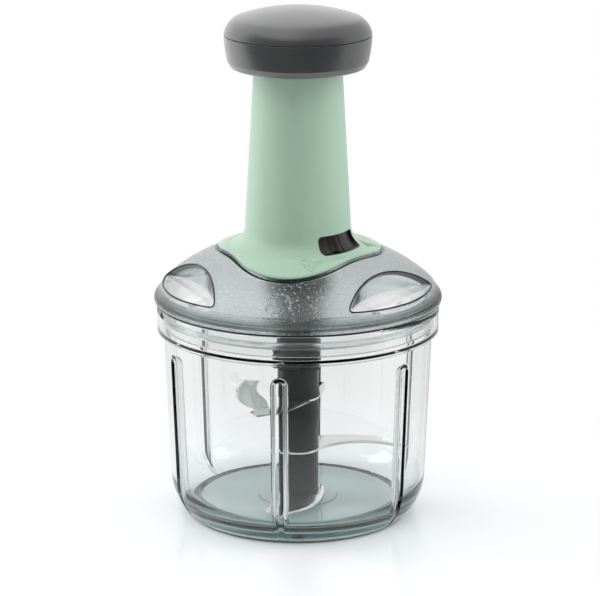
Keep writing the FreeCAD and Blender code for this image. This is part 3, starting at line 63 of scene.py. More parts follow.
def add_node(tree, kind, inputs=(), **settings):
    """Adds a node with its settings. Each input takes a value, or the node or output that feeds it.

    A kind in capitals is the operation of a Math node, and a shader node's kind goes without its prefix.
    """
    if kind.isupper():
        kind, settings["operation"] = "Math", kind
    node = tree.nodes.new(kind if "Node" in kind else "ShaderNode" + kind)
    for name, value in settings.items():
        setattr(node, name, value)
    for name, value in inputs.items() if isinstance(inputs, dict) else enumerate(inputs):
        if isinstance(value, bpy.types.Node):
            value = value.outputs[0]
        if isinstance(value, bpy.types.NodeSocket):
            tree.links.new(value, node.inputs[name])
        else:
            node.inputs[name].default_value = value
    return node


def new_material(name):
    """An empty material, its node tree, and the place on the piece that its patterns follow."""
    material = bpy.data.materials.new(name)
    material.use_nodes = True
    material.node_tree.nodes.clear()
    return material, material.node_tree, add_node(material.node_tree, "TexCoord").outputs["Object"]


def add_object(name, data):
    """Puts an object in the scene."""
    thing = bpy.data.objects.new(name, data)
    scene.collection.objects.link(thing)
    return thing


scene = bpy.context.scene
scene.view_settings.view_transform = "Standard"
WHITE = linear("FFFFFF")
SOFT = {"interpolation_type": "SMOOTHSTEP"}

CAMERA_DISTANCE = 1.2796
CAMERA_HEIGHT = 0.4507
CAMERA_TURN = math.radians(8.0)
CAMERA_TILT = math.radians(15.2)
CAMERA_SHIFT = 2 / 600
camera_data = bpy.data.cameras.new("camera")
camera_data.lens = 169.2
camera_data.sensor_width = 36.0
camera_data.shift_x = CAMERA_SHIFT
camera = add_object("camera", camera_data)
camera.location = (
    CAMERA_DISTANCE * math.sin(CAMERA_TURN), -CAMERA_DISTANCE * math.cos(CAMERA_TURN), CAMERA_HEIGHT)
camera.rotation_euler = (math.pi / 2 - CAMERA_TILT, 0, CAMERA_TURN)
scene.camera = camera

world = bpy.data.worlds.new("studio")
world.use_nodes = True
scene.world = world
tree = world.node_tree
tree.nodes.clear()
rays = add_node(tree, "LightPath").outputs
heading = add_node(tree, "SeparateXYZ", [add_node(tree, "TexCoord").outputs["Generated"]]).outputs
sideways = add_node(tree, "ABSOLUTE", [heading["X"]])
wall, ceiling, right_side, cards = [add_node(tree, "MapRange", limits, **SOFT) for limits in (
    (heading["Y"], -0.45, 0.15, 0.2, 1.0),
    (heading["Z"], 0.45, 0.75, 0.0, 1.0),
    (heading["X"], -0.1, 0.35, 1.0, 0.55),
    (sideways, 0.82, 0.93, 1.0, 0.08),
)]
brightness = add_node(tree, "MAXIMUM", (wall, ceiling))
right_side = add_node(
    tree, "Mix", {"Factor": rays["Is Glossy Ray"], "A": 1.0, "B": right_side}, data_type="FLOAT")
reflected = add_node(tree, "MULTIPLY", (brightness, right_side))
beside = add_node(tree, "MULTIPLY", (brightness, cards))
around_it, seen_through, white = [
    add_node(tree, "Background", (WHITE, strength)) for strength in (reflected, beside, 1.0)]
light = add_node(tree, "MixShader", (rays["Is Transmission Ray"], around_it, seen_through))
light = add_node(tree, "MixShader", (rays["Is Camera Ray"], light, white))
add_node(tree, "OutputWorld", [light])

for name, place, width, height, power in (
    ("left_softbox", (-1.0, 0.05, 0.6), 0.5, 0.9, 6.0),
    ("right_softbox", (1.0, 0.1, 0.6), 0.5, 0.9, 4.0),
    ("front_softbox", (-0.3, -0.5, 1.4), 0.9, 0.9, 1.6),
):
    softbox = bpy.data.lights.new(name, "AREA")
    softbox.shape = "RECTANGLE"
    softbox.size = width
    softbox.size_y = height
    softbox.energy = power
    lamp = add_object(name, softbox)
    lamp.visible_glossy = False
    lamp.location = place
    to_the_middle = Vector((0, 0, 0.12)) - Vector(place)
    lamp.rotation_euler = to_the_middle.to_track_quat("-Z", "Y").to_euler()

# White lacquer: it takes the chopper's soft shadow and, away from it, glows as white as the room. In
# mirrors it darkens to the front and the right, and through clear plastic it is a third as bright.
lacquered_table, tree, place = new_material("white_lacquered_table")
rays = add_node(tree, "LightPath").outputs
spot = add_node(tree, "SeparateXYZ", [place]).outputs
distance = add_node(tree, "VectorMath", [place], operation="LENGTH").outputs["Value"]
fade = add_node(tree, "MapRange", (distance, 0.07, 0.22, 0.0, 1.0), **SOFT)
looking = add_node(tree, "MAXIMUM", (rays["Is Camera Ray"], rays["Is Glossy Ray"]))
looking = add_node(tree, "MAXIMUM", (looking, rays["Is Transmission Ray"]))
fade = add_node(tree, "MULTIPLY", (fade, looking))
lacquer = add_node(tree, "BsdfPrincipled", {
    "Base Color": linear("F8F9FA"), "Roughness": 0.2, "Specular IOR Level": 0.4})
behind = add_node(tree, "MapRange", (spot["Y"], -0.2, -0.06, 0.12, 1.0))
right_side = add_node(tree, "MapRange", (spot["X"], 0.0, 0.25, 1.0, 0.55))
mirrored = add_node(tree, "SUBTRACT", (rays["Is Glossy Ray"], rays["Is Transmission Ray"]), use_clamp=True)
right_side = add_node(tree, "Mix", {"Factor": mirrored, "A": 1.0, "B": right_side}, data_type="FLOAT")
brightness = add_node(tree, "MULTIPLY", (behind, right_side))
through = add_node(tree, "MULTIPLY", (rays["Is Transmission Ray"], 0.32))
for least in (through, rays["Is Camera Ray"]):
    brightness = add_node(tree, "MAXIMUM", (brightness, least))
glow = add_node(tree, "Emission", (WHITE, brightness))
add_node(tree, "OutputMaterial", [add_node(tree, "MixShader", (fade, lacquer, glow))])

TABLE_REACH = 3.0
TABLE_LEVEL = -0.0001
table_mesh = bpy.data.meshes.new("table")
table_mesh.from_pydata(
    [(x * TABLE_REACH, y * TABLE_REACH, TABLE_LEVEL) for x, y in ((-1, -1), (1, -1), (1, 1), (-1, 1))],
    [], [(0, 1, 2, 3)])
table_mesh.materials.append(lacquered_table)
table = add_object("table", table_mesh)

# Base ring
# A soft grey ring of thermoplastic rubber, pressed into the foot of the bowl so that it doesn't
# slide. It is moulded with a matt face and a small bevel at its outer edge.


def contour(corners, closed=True):
    """The points of a section, in millimetres.

    A corner is (radius, height, rounding), or (radius, height, rounding, arc) where an arc of that
    radius leads on to the next corner. A positive arc turns left along the way.
    """
    points = []
    count = len(corners)
    for index, corner in enumerate(corners):
        points.append(corner[:3])
        if len(corner) == 4 and (closed or index < count - 1):
            start, end = Vector(corner[:2]), Vector(corners[(index + 1) % count][:2])
            along = end - start
            radius = corner[3]
            left = Vector((-along.y, along.x)).normalized()
            centre = (start + end) / 2 + left * math.copysign(
                math.sqrt(radius ** 2 - along.length_squared / 4), radius)
            sweep = 2 * math.asin(along.length / 2 / abs(radius))
            steps = max(3, math.ceil(max(math.degrees(sweep) / 5, along.length / 4)))
            arm = start - centre
            for step in range(1, steps):
                turn = math.copysign(sweep * step / steps, radius)
                points.append((
                    centre.x + arm.x * math.cos(turn) - arm.y * math.sin(turn),
                    centre.y + arm.x * math.sin(turn) + arm.y * math.cos(turn), 0))
    rounded = []
    for index, (x, y, rounding) in enumerate(points):
        here = Vector((x, y))
        if rounding == 0 or (not closed and index in (0, len(points) - 1)):
            rounded.append((x, y))
            continue
        back = Vector(points[index - 1][:2]) - here
        ahead = Vector(points[(index + 1) % len(points)][:2]) - here
        half = back.angle(ahead) / 2
        # A rounding takes less than half of a side, and a long side gets one more point beside it.
        reach = min(rounding / math.tan(half), 0.42 * back.length, 0.42 * ahead.length)
        radius = reach * math.tan(half)
        bisector = (back.normalized() + ahead.normalized()).normalized()
        centre = here + bisector * (radius / math.sin(half))
        first = here + back.normalized() * reach
        last = here + ahead.normalized() * reach
        if back.length > reach * 2.6:
            rounded.append(tuple(here + back.normalized() * reach * 1.5))
        for step in range(6):
            bent = half < math.pi / 2 - 0.01
            arm = (first - centre).slerp(last - centre, step / 5) if bent else first - centre
            rounded.append(tuple(centre + arm.normalized() * radius))
        if ahead.length > reach * 2.6:
            rounded.append(tuple(here + ahead.normalized() * reach * 1.5))
    return rounded


def around(radius, turn, height):
    """The point at this distance from the axis, this angle and this height."""
    return (radius * math.cos(turn), radius * math.sin(turn), height)


def full_turn(count):
    """The angles of this many even steps round the axis."""
    return [math.tau * step / count for step in range(count)]


def add_points(mesh, points):
    """Adds points in millimetres to a mesh in the making."""
    return [mesh.verts.new(Vector(point) * 0.001) for point in points]


def finished(mesh, smooth=True, crisp=None):
    """Ends a mesh in the making: normals outwards and no face of more than four corners left.

    Edges sharper than the crisp angle stay sharp.
    """
    bmesh.ops.recalc_face_normals(mesh, faces=mesh.faces)
    wide = [face for face in mesh.faces if len(face.verts) > 4]
    if wide:
        bmesh.ops.triangulate(mesh, faces=wide)
    for face in mesh.faces:
        face.smooth = smooth
    data = bpy.data.meshes.new("moulding")
    mesh.to_mesh(data)
    mesh.free()
    if crisp:
        data.set_sharp_from_angle(angle=math.radians(crisp))
    return data


def ring_mesh(rings, closed=True, slots=None):
    """A mesh from rings of points in millimetres. A ring of one point is a pole on the axis."""
    mesh = bmesh.new()
    rows = [add_points(mesh, ring) for ring in rings]
    pairs = list(zip(rows, rows[1:]))
    if closed:
        pairs.append((rows[-1], rows[0]))
    for number, (lower, upper) in enumerate(pairs):
        count = max(len(lower), len(upper))
        for index in range(count):
            following = (index + 1) % count
            if len(lower) == 1:
                corners = (lower[0], upper[following], upper[index])
            elif len(upper) == 1:
                corners = (lower[index], lower[following], upper[0])
            else:
                corners = (lower[index], lower[following], upper[following], upper[index])
            face = mesh.faces.new(corners)
            if slots:
                face.material_index = slots[number]
    return finished(mesh)


def turned(corners, columns=144, closed=True):
    """A turned piece from its half section. An open section starts and ends on the axis."""
    return ring_mesh([
        [around(radius, turn, height) for turn in full_turn(columns if radius > 1e-6 else 1)]
        for radius, height in contour(corners, closed)
    ], closed)


def fit_piece(name, mesh, body, material, slot, *nodes):
    """Puts a finished mesh in the scene: its material, the body it rides on and what it stands for."""
    mesh.name = name
    if not mesh.materials:
        mesh.materials.append(material)
    piece = add_object(name, mesh)
    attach(piece, body)
    if nodes:
        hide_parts(*nodes)
    return piece


def finish_cad(material, *names):
    """A CAD node keeps its mesh and takes this material."""
    for name in names:
        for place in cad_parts[name].material_slots:
            place.material = material


def grained(tree, place, size, strength, depth, **noise):
    """A noise with grains of this size, and the dents that it makes in a surface."""
    grain = add_node(tree, "TexNoise", {"Vector": place, "Scale": 1 / size, "Detail": 2.0, **noise})
    return grain, add_node(tree, "Bump", {"Height": grain, "Strength": strength, "Distance": depth})


# Thermoplastic rubber, moulded: dull, with a fine bead-blasted grain of 0.4 mm.
rubber, tree, place = new_material("moulded_thermoplastic_rubber")
grain, dents = grained(tree, place, 0.0004, 0.25, 0.0001)
tint = add_node(tree, "Mix", {"Factor": grain, 6: linear("7E857F"), 7: linear("8F968F")}, data_type="RGBA")
skin = add_node(tree, "BsdfPrincipled", {"Base Color": tint.outputs[2], "Roughness": 0.62, "Normal": dents})
add_node(tree, "OutputMaterial", [skin])

fit_piece("foot_ring", turned([
    (47.7, 0.0, 0.15), (51.9, 0.0, 0.3), (52.5, 0.6, 0.2), (52.5, 1.2, 0), (47.7, 1.2, 0),
]), "bowl", rubber, "silicone", "base_ring")

# Bowl
# One clear moulding of styrene acrylonitrile, 2.3 mm thick. Six folds stiffen its wall: each is a
# half-round groove outside and a ridge inside. The collar has two ramped notches for the lid's lugs.
FOOT = (53.3, 1.2)
LOW_WALL = (60.6, 20.0)
HIGH_WALL = (63.2, 88.0)
WALL = 2.3
WALL_LEAN = (HIGH_WALL[0] - LOW_WALL[0]) / (HIGH_WALL[1] - LOW_WALL[1])
COLLAR = 66.25
RIM = 102.6
RIM_BLEND = 4.0
FLOOR = 6.0
FLOOR_REACH = 48.5
UNDERSIDE = 3.4
RING_SEAT = 47.5
COLLAR_FOOT = 89.3
BOSS_TOP = 6.6
PIN_HOLE = (3.0, 2.8)
FRONT = math.radians(-90.0)
FOLDS = 6
FOLD_SPACING = 360 / FOLDS
FOLD_TOP = 78.0
RIDGE_RADIUS = 3.45
RIDGE_CENTRE = LOW_WALL[0] - WALL + 0.05
RIDGE_LIP = 0.5
GROOVE_RADIUS = 1.8
GROOVE_CENTRE = LOW_WALL[0] - WALL + 0.6
GROOVE_LIP = 0.45
NOTCH_STEP = 0.6
NOTCH_DEPTH = 3.9
NOTCH_HALF = math.radians(38.0)
NOTCH_RAMP_END = math.radians(8.0)
NOTCH_MIDDLES = (math.radians(-10.0), math.radians(170.0))
NOTCH_START = -COLLAR * math.sin(NOTCH_HALF)
NOTCH_END = COLLAR * math.sin(NOTCH_RAMP_END)


def wrapped(angle):
    """An angle between minus and plus half a turn."""
    return (angle + math.pi) % (2 * math.pi) - math.pi


def ramp_depth(angle, start, end, level_on):
    """How deep a notch or lug is at this angle, if its ramp runs from start to end across the collar.

    A notch goes on level after its ramp, and a lug ends there.
    """
    for middle in NOTCH_MIDDLES:
        turn = wrapped(angle - middle)
        across = COLLAR * math.sin(turn)
        if abs(turn) < NOTCH_HALF and start < across and (level_on or across < end):
            share = min((across - start) / (end - start), 1.0)
            return NOTCH_STEP + (NOTCH_DEPTH - NOTCH_STEP) * share
    return 0.0


def from_fold(angle):
    """The distance along the wall from the middle of the nearest fold."""
    spacing = math.radians(FOLD_SPACING)
    nearest = spacing * round((angle - FRONT) / spacing) + FRONT
    return abs(wrapped(angle - nearest)) * LOW_WALL[0]


def folded(radius, height, across, centre, fold_radius, lip):
    """The wall's radius where a fold of this radius runs down inside it."""
    centre += WALL_LEAN * (height - LOW_WALL[1])
    if height > FOLD_TOP:
        square = fold_radius ** 2 - (height - FOLD_TOP) ** 2
        if square <= 0:
            return radius
        fold_radius = math.sqrt(square)
    lip = min(lip, fold_radius * 0.5)
    if across < fold_radius:
        return min(radius - lip * (height < FOLD_TOP + 1), centre - math.sqrt(fold_radius ** 2 - across ** 2))
    if across < fold_radius + lip and centre - fold_radius < radius - lip:
        beyond = lip - (across - fold_radius)
        return radius - lip + math.sqrt(max(lip ** 2 - beyond ** 2, 0))
    return radius


# Half of the bowl cut through: from the axis out under the floor, up outside, and down and back inside.
bowl_section = contour([
    (0, 1.8, 0), (6.0, 1.8, 0.3), (6.0, UNDERSIDE, 0.3), (RING_SEAT, UNDERSIDE, 0.5),
    (RING_SEAT, FOOT[1], 0.2), (*FOOT, 0.3, 29.0), (*LOW_WALL, 0), (*HIGH_WALL, 0.5),
    (COLLAR, COLLAR_FOOT, 0.4), (COLLAR, RIM, 0.45), (COLLAR - WALL, RIM, 0.45), (COLLAR - WALL, 91.2, 0.6),
    (HIGH_WALL[0] - WALL, COLLAR_FOOT, 0.6), (LOW_WALL[0] - WALL, LOW_WALL[1], 0, -14.9),
    (FLOOR_REACH, FLOOR, 0), (19.0, FLOOR, 0.15), (18.4, BOSS_TOP, 0.2), (PIN_HOLE[0], BOSS_TOP, 0.2),
    (*PIN_HOLE, 0.1), (0, PIN_HOLE[1], 0),
], closed=False)

# The wall gets more rows, which lie close round the tops of the folds. The outside needs fewer of them.
WALL_STOPS = [
    *[22 + 10.0 * step for step in range(6)], *[FOLD_TOP - 4 + 0.35 * step for step in range(26)], 84.5, 86.5]
bowl_rows = []
for (radius, height), (next_radius, next_height) in zip(bowl_section, bowl_section[1:]):
    bowl_rows.append((radius, height))
    run, rise = next_radius - radius, next_height - height
    if min(radius, next_radius) > 57 and abs(rise) > 20:
        bowl_rows += [
            (radius + run * (stop - height) / rise, stop) for stop in sorted(WALL_STOPS, reverse=rise < 0)
            if min(height, next_height) < stop < max(height, next_height)
            and (rise < 0 or stop < FOLD_TOP - 3.5 or abs(stop - FOLD_TOP) < 2.3 or stop > FOLD_TOP + 6)]
    elif radius > 50 and math.hypot(run, rise) > 3.0 and next_height < 21:
        bowl_rows.append(((radius + next_radius) / 2, (height + next_height) / 2))
bowl_rows.append(bowl_section[-1])

# The columns stand close together across each fold and at the ends of the notches.
across_fold = {0, 0.3, 0.6, 0.9, 2.5, 2.9, 4.4, 4.9, 5.5, 6.5, 8.0} | {
    round(fold_radius + beyond, 3) for fold_radius in (GROOVE_RADIUS, RIDGE_RADIUS)
    for beyond in (-0.7, -0.45, -0.25, -0.12, -0.04, -0.001, 0.03, 0.12, 0.25, 0.45)}
FOLD_SIDE = 7.6
PLAIN_COLUMNS = 16
degrees = set()
for fold in range(FOLDS):
    middle = math.degrees(FRONT) + FOLD_SPACING * fold
    for across in across_fold:
        away = math.degrees(across / LOW_WALL[0])
        degrees |= {round(middle + away, 4), round(middle - away, 4)}
    degrees |= {
        round(middle + FOLD_SIDE + (FOLD_SPACING - 2 * FOLD_SIDE) * step / (PLAIN_COLUMNS + 1), 4)
        for step in range(1, PLAIN_COLUMNS + 1)}
degrees |= {
    round(math.degrees(middle + end) + side, 4) for middle in NOTCH_MIDDLES
    for end, sides in ((-NOTCH_HALF, (-0.02, 0.02)), (NOTCH_RAMP_END, (0,)), (NOTCH_HALF, (-0.02, 0.02)))
    for side in sides}
degrees = sorted({turn % 360 for turn in degrees})
bowl_turns = [
    math.radians(turn) for turn, before in zip(degrees, [-1] + degrees) if turn - before > 0.012]

bowl_rings = []
inward = False
for radius, height in bowl_rows:
    inward = inward or height >= RIM - 0.01
    if radius < 1e-6:
        bowl_rings.append([(0, 0, height)])
        continue
    ring = []
    for turn in bowl_turns:
        reach, level = radius, height
        across = from_fold(turn)
        if inward and radius >= FLOOR_REACH and FLOOR <= height < FOLD_TOP + RIDGE_RADIUS:
            reach = folded(radius, height, across, RIDGE_CENTRE, RIDGE_RADIUS, RIDGE_LIP)
        elif not inward and radius > FLOOR_REACH and height < FOLD_TOP + GROOVE_RADIUS:
            reach = folded(radius, height, across, GROOVE_CENTRE, GROOVE_RADIUS, GROOVE_LIP)
        if height > RIM - RIM_BLEND:
            drop = ramp_depth(turn, NOTCH_START, NOTCH_END, True)
            level = height - drop * (height - RIM + RIM_BLEND) / RIM_BLEND
        ring.append(around(reach, turn, level))
    bowl_rings.append(ring)

CLEAR_IOR = 1.53


def flow_ripples(tree, place):
    """The faint waves, 14 mm apart, that flowing plastic leaves in a polished face."""
    return grained(tree, place, 0.014, 0.02, 0.0004)[1]


def end_clear(tree, plastic, tint, **inside):
    """Ends a clear material. To the lamps it is a thin tint, so that light reaches what lies inside."""
    lit = add_node(tree, "BsdfTransparent", [linear(tint)])
    shadow = add_node(tree, "LightPath").outputs["Is Shadow Ray"]
    surface = add_node(tree, "MixShader", (shadow, plastic, lit))
    add_node(tree, "OutputMaterial", {"Surface": surface, **inside})


# Clear styrene acrylonitrile, injection moulded: glass-like, faintly green where light runs far in it.
# The underside of the floor is eroded in the mould, so the floor looks grey and hides the table.
clear_san, tree, place = new_material("clear_styrene_acrylonitrile")
height = add_node(tree, "SeparateXYZ", [place]).outputs["Z"]
level_place = add_node(tree, "VectorMath", {0: place, 1: (1.0, 1.0, 0.0)}, operation="MULTIPLY")
from_axis = add_node(tree, "VectorMath", [level_place], operation="LENGTH").outputs["Value"]
low = add_node(tree, "LESS_THAN", (height, (UNDERSIDE + 0.4) / 1000))
within = add_node(tree, "LESS_THAN", (from_axis, (RING_SEAT - 0.2) / 1000))
eroded = add_node(tree, "MULTIPLY", (low, within))
moulding = add_node(tree, "BsdfPrincipled", {
    "Base Color": WHITE, "Roughness": 0.0, "IOR": CLEAR_IOR, "Transmission Weight": 1.0,
    "Normal": flow_ripples(tree, place)})
dents = grained(tree, place, 0.0005, 0.35, 0.0001)[1]
dull = add_node(tree, "BsdfPrincipled", {
    "Base Color": linear("E2EEEE"), "Roughness": 0.4, "IOR": CLEAR_IOR, "Transmission Weight": 0.42,
    "Normal": dents})
plastic = add_node(tree, "MixShader", (eroded, moulding, dull))
depth = add_node(tree, "VolumeAbsorption", {"Color": linear("86A8A2"), "Density": 32.0})
end_clear(tree, plastic, "F2F6F5", Volume=depth)
fit_piece("clear_bowl", ring_mesh(bowl_rings, closed=False), "bowl", clear_san, "clear_bowl", "bowl")

# Centre pin
# A steel pin, turned and ground, on which the blade column turns. It is pressed into the boss in the
# floor of the bowl.


def metal(name, colour, roughness, scratch_scale, scratch_depth):
    """A bare metal with fine lines along its rolling or turning direction."""
    material, tree, place = new_material(name)
    squeezed = add_node(tree, "Mapping", {"Vector": place, "Scale": scratch_scale})
    lines, dents = grained(tree, squeezed, 1.0, scratch_depth, 0.00005, Detail=3.0)
    gloss = add_node(tree, "MapRange", (lines, 0.3, 0.7, roughness * 0.7, roughness * 1.4))
    skin = add_node(tree, "BsdfPrincipled", {
        "Base Color": linear(colour), "Metallic": 1.0, "Roughness": gloss, "Normal": dents})
    add_node(tree, "OutputMaterial", [skin])
    return material


# Ground steel: bright, with turning lines 0.2 mm apart round the pin.
ground_steel = metal("ground_steel", "C9CBCD", 0.2, (300, 300, 5000), 0.2)
finish_cad(ground_steel, "centre_pin", "spiral_rod", "rod_pin")

# Blade column
# A hex shaft of glass-filled nylon carries four dark sleeves that hold the blades apart. Each sleeve
# is a satin moulding with rounded ends, and the third swells just below the upper blade.


def moulded(name, colour, roughness, grain, depth, mottle=0.04, shine=0.5, **finish):
    """A solid-coloured moulded plastic with the fine texture of its mould, and any coat or sheen."""
    material, tree, place = new_material(name)
    texture, dents = grained(tree, place, grain, depth, 0.00008, Detail=3.0)
    cloud = add_node(tree, "TexNoise", {"Vector": place, "Scale": 1 / 0.03, "Detail": 2.0})
    shade = add_node(tree, "MapRange", (cloud, 0.3, 0.7, 1 - mottle, 1 + mottle))
    gloss = add_node(tree, "MapRange", (texture, 0.3, 0.7, roughness * 0.9, roughness * 1.1))
    tint = add_node(tree, "HueSaturation", {"Color": linear(colour), "Value": shade})
    skin = add_node(tree, "BsdfPrincipled", {
        "Base Color": tint, "Roughness": gloss, "Specular IOR Level": shine, "Normal": dents})
    for name, value in finish.items():
        skin.inputs[name.replace("_", " ")].default_value = value
    add_node(tree, "OutputMaterial", [skin])
    return material


# Glass-filled nylon, moulded: charcoal, half dull, with a grain of 0.5 mm that softens its highlight.
nylon = moulded("glass_filled_nylon", "222223", 0.34, 0.0005, 0.25, shine=0.4)
finish_cad(nylon, "blade_shaft", "drive_housing", "drive_socket", "rod_holder")

SHAFT = 5.6
COLUMN = 9.7
SWELL = 10.6
LOWER_BLADE, MIDDLE_BLADE, UPPER_BLADE = 8.1, 29.2, 55.0
SHEET = 1.0

# Each end of a sleeve is (radius, rounding), and in between it may swell.
for name, low, high, foot, swell, head in (
    ("foot_sleeve", 6.9, LOWER_BLADE, (COLUMN, 0.3), [], (COLUMN, 0.1)),
    ("lower_sleeve", LOWER_BLADE + SHEET, MIDDLE_BLADE, (COLUMN, 0.3), [], (COLUMN, 0.3)),
    ("middle_sleeve", MIDDLE_BLADE + SHEET, UPPER_BLADE, (COLUMN, 0.3), [
        (COLUMN, 38.5, 4.0), (SWELL, 47.0, 1.6)], (COLUMN, 0.3)),
    ("upper_sleeve", UPPER_BLADE + SHEET, 66.2, (SWELL, 0.3), [(COLUMN + 0.1, 61.0, 3.0)], (COLUMN, 0.2)),
):
    sleeve = turned([
        (SHAFT, low, 0), (foot[0], low, foot[1]), *swell, (head[0], high, head[1]), (SHAFT, high, 0)], 96)
    fit_piece(name, sleeve, "blades", nylon, "dark_plastic", name)

# Blades
# Three sickles of polished stainless sheet, one millimetre thick, each with an eye round the shaft.
# Their edges are ground on the upper side, and the top one is bent up into a crescent.
BLADE_TURN = math.radians(8.0)
EYE = 10.2
EYE_HOLE = 5.5

# How far in and how high each row of a plate's side lies: a small bevel, the edge, and the ground face.
GRIND = ((0.12, 0.0), (0.0, 0.1), (0.0, 0.22), (1.3, 0.97), (1.42, SHEET))


def spun(x, y, turn):
    """A point turned about the axis."""
    return x * math.cos(turn) - y * math.sin(turn), x * math.sin(turn) + y * math.cos(turn)


def add_band(mesh, lower, upper):
    """Closes the band between two rings of as many points."""
    return [
        mesh.faces.new((lower[index - 1], lower[index], upper[index], upper[index - 1]))
        for index in range(len(lower))]


def add_layers(mesh, rows):
    """Closes the bands between rows of points, and the first and the last row."""
    for lower, upper in zip(rows, rows[1:]):
        add_band(mesh, lower, upper)
    mesh.faces.new(rows[0])
    mesh.faces.new(rows[-1])


def sheet_plate(mesh, low, corners, rise=0.0, slope=0.0, hinge=0.0, ground_to=99.0):
    """A ground plate of blade sheet from its outline, lying flat or bent up about a hinge line.

    Only the edge on the left of the line x = ground_to is ground.
    """
    points = [Vector(point) for point in contour([(*corner[:2], 0.25, *corner[2:]) for corner in corners])]
    count = len(points)
    area = sum(points[i - 1].x * points[i].y - points[i].x * points[i - 1].y for i in range(count))
    inside = 1 if area > 0 else -1
    rows = []
    for width, height in GRIND:
        row = []
        for index, point in enumerate(points):
            back = (point - points[index - 1]).normalized()
            ahead = (points[(index + 1) % count] - point).normalized()
            normal = Vector((-(back.y + ahead.y), back.x + ahead.x)).normalized() * inside
            slant = max(0.75, back.dot(Vector((back.x + ahead.x, back.y + ahead.y)).normalized()))
            share = 1.0 if point.x < ground_to else 0.1
            inset = point + normal * width * share / slant
            y = hinge + inset.y * math.cos(slope) - height * math.sin(slope)
            z = low + rise + inset.y * math.sin(slope) + height * math.cos(slope)
            row.append((*spun(inset.x, y, BLADE_TURN), z))
        rows.append(add_points(mesh, row))
    add_layers(mesh, rows)


# Stainless sheet, polished: it mirrors the white room, with grinding lines 0.17 mm apart.
blade_steel = metal("polished_stainless_steel", "ECECEB", 0.2, (700, 6000, 700), 0.12)

UPPER_BEND = {"rise": 2.8, "slope": math.radians(8.5), "hinge": -27.0, "ground_to": -19.9}

# A short block joins the flat plate to the bent one. These are the corners of its foot and of its head.
UPPER_NECK = (
    (55.6, ((-19.0, -32.7), (-12.4, -29.8), (-12.8, -28.4), (-18.6, -30.6))),
    (58.4, ((-19.9, -29.5), (-13.5, -28.4), (-13.7, -27.0), (-19.7, -28.1))),
)

# A corner with a third value is where an arc of that radius leads on to the next corner.
for name, low, flat, bent, neck in (
    ("lower_blade", LOWER_BLADE, [
        (-14.0, -38.4), (-7.0, -41.5, 50.0), (11.7, -9.0, 60.0), (12.1, 6.7, 12.0), (6.0, 8.0), (-8.0, 5.0),
        (-9.0, -4.0, -60.0), (-15.9, -29.8)], None, ()),
    ("middle_blade", MIDDLE_BLADE, [
        (8.0, -6.0), (10.2, -3.8, -25.0), (48.1, 0.6), (53.4, 0.6, 6.0), (52.8, 5.0, 31.0),
        (26.6, 19.3, 38.0), (-4.0, 9.3), (-4.0, -4.0)], None, ()),
    ("upper_blade", UPPER_BLADE, [
        (-18.9, -33.2), (-13.9, -30.4), (-6.5, -26.7, 200.0), (9.5, -3.1, 66.0), (13.1, 20.5), (11.0, 21.8),
        (7.5, 6.5), (-8.0, 5.5), (-9.0, -4.5, -90.0), (-15.5, -24.0), (-19.6, -23.6), (-22.4, -26.2)], [
        (-20.0, -2.7), (-13.4, -1.6), (-14.2, 4.5), (-15.9, 8.9), (-17.8, 12.3), (-19.0, 15.8), (-19.5, 19.5),
        (-19.2, 23.5), (-18.1, 27.4), (-25.5, 29.6, 24.7)], UPPER_NECK),
):
    plates = bmesh.new()
    sheet_plate(plates, low, flat)
    if bent:
        sheet_plate(plates, low, bent, **UPPER_BEND)
        add_layers(plates, [
            add_points(plates, [(*spun(x, y, BLADE_TURN), height) for x, y in corners])
            for height, corners in neck])
    section = [(EYE_HOLE, low, 0), (EYE, low, 0.12), (EYE, low + SHEET, 0.2), (EYE_HOLE, low + SHEET, 0)]
    eye = [
        add_points(plates, [around(radius, turn, height) for turn in full_turn(72)])
        for radius, height in contour(section)]
    for lower, upper in zip(eye, eye[1:] + eye[:1]):
        add_band(plates, lower, upper)
    fit_piece(name, finished(plates, crisp=22), "blades", blade_steel, "steel", name)

# Gasket
# A soft silicone ring in the inner cover's groove. It seals against the inside of the collar and
# shows there as a pale band.

# Silicone, moulded: milky, half see-through, with a dull skin.
silicone, tree, place = new_material("translucent_silicone")
cloud, dents = grained(tree, place, 0.0008, 0.2, 0.0001)
tint = add_node(tree, "Mix", {"Factor": cloud, 6: linear("F0F5F4"), 7: linear("F6FAF9")}, data_type="RGBA")
skin = add_node(tree, "BsdfPrincipled", {
    "Base Color": tint.outputs[2], "Roughness": 0.16, "IOR": 1.41, "Transmission Weight": 0.95,
    "Normal": dents})
add_node(tree, "OutputMaterial", [skin])
fit_piece("seal_ring", turned([
    (61.9, 96.3, 0.2), (62.95, 96.3, 0.3), (63.75, 97.1, 0.4), (63.75, 98.1, 0.4), (62.95, 98.9, 0.3),
    (61.9, 98.9, 0.2),
]), "seal", silicone, "silicone", "lid_gasket")

# Lid
# One moulding of smoke-grey styrene acrylonitrile. Its outside is frosted, its inside polished, and
# three polished finger scoops are sunk into it. A channel round the column's foot takes its lobed edge.
LID_FOOT = 103.0
LID_INNER = 65.0
LUG_FACE = 66.1
LUG_EDGE = 66.12
CROWN = (32.0, 128.4)
CROWN_HOLE = 16.4
CROWN_INSIDE = 126.2
HOUSING_SEAT = 127.6
CREASE = (64.0, 110.8)
CREASE_START = CREASE[0] - 0.4
DOME = 73.5
DOME_ROWS = 14
LID_WALL = 2.2
INNER_EDGE = 60.5
INNER_FLAT = (34.0, 31.0)
half_chord = Vector((CROWN[0] - CREASE[0], CROWN[1] - CREASE[1])) / 2
dome_middle = Vector(CREASE) + half_chord + Vector((-half_chord.y, half_chord.x)).normalized() * math.sqrt(
    DOME ** 2 - half_chord.length_squared)
MEAN_REACH = 37.8
FOOT_WAVES = (2.0, 1.2, 3.2, 1.2)
FROSTED, POLISHED, DARK = 0, 1, 2

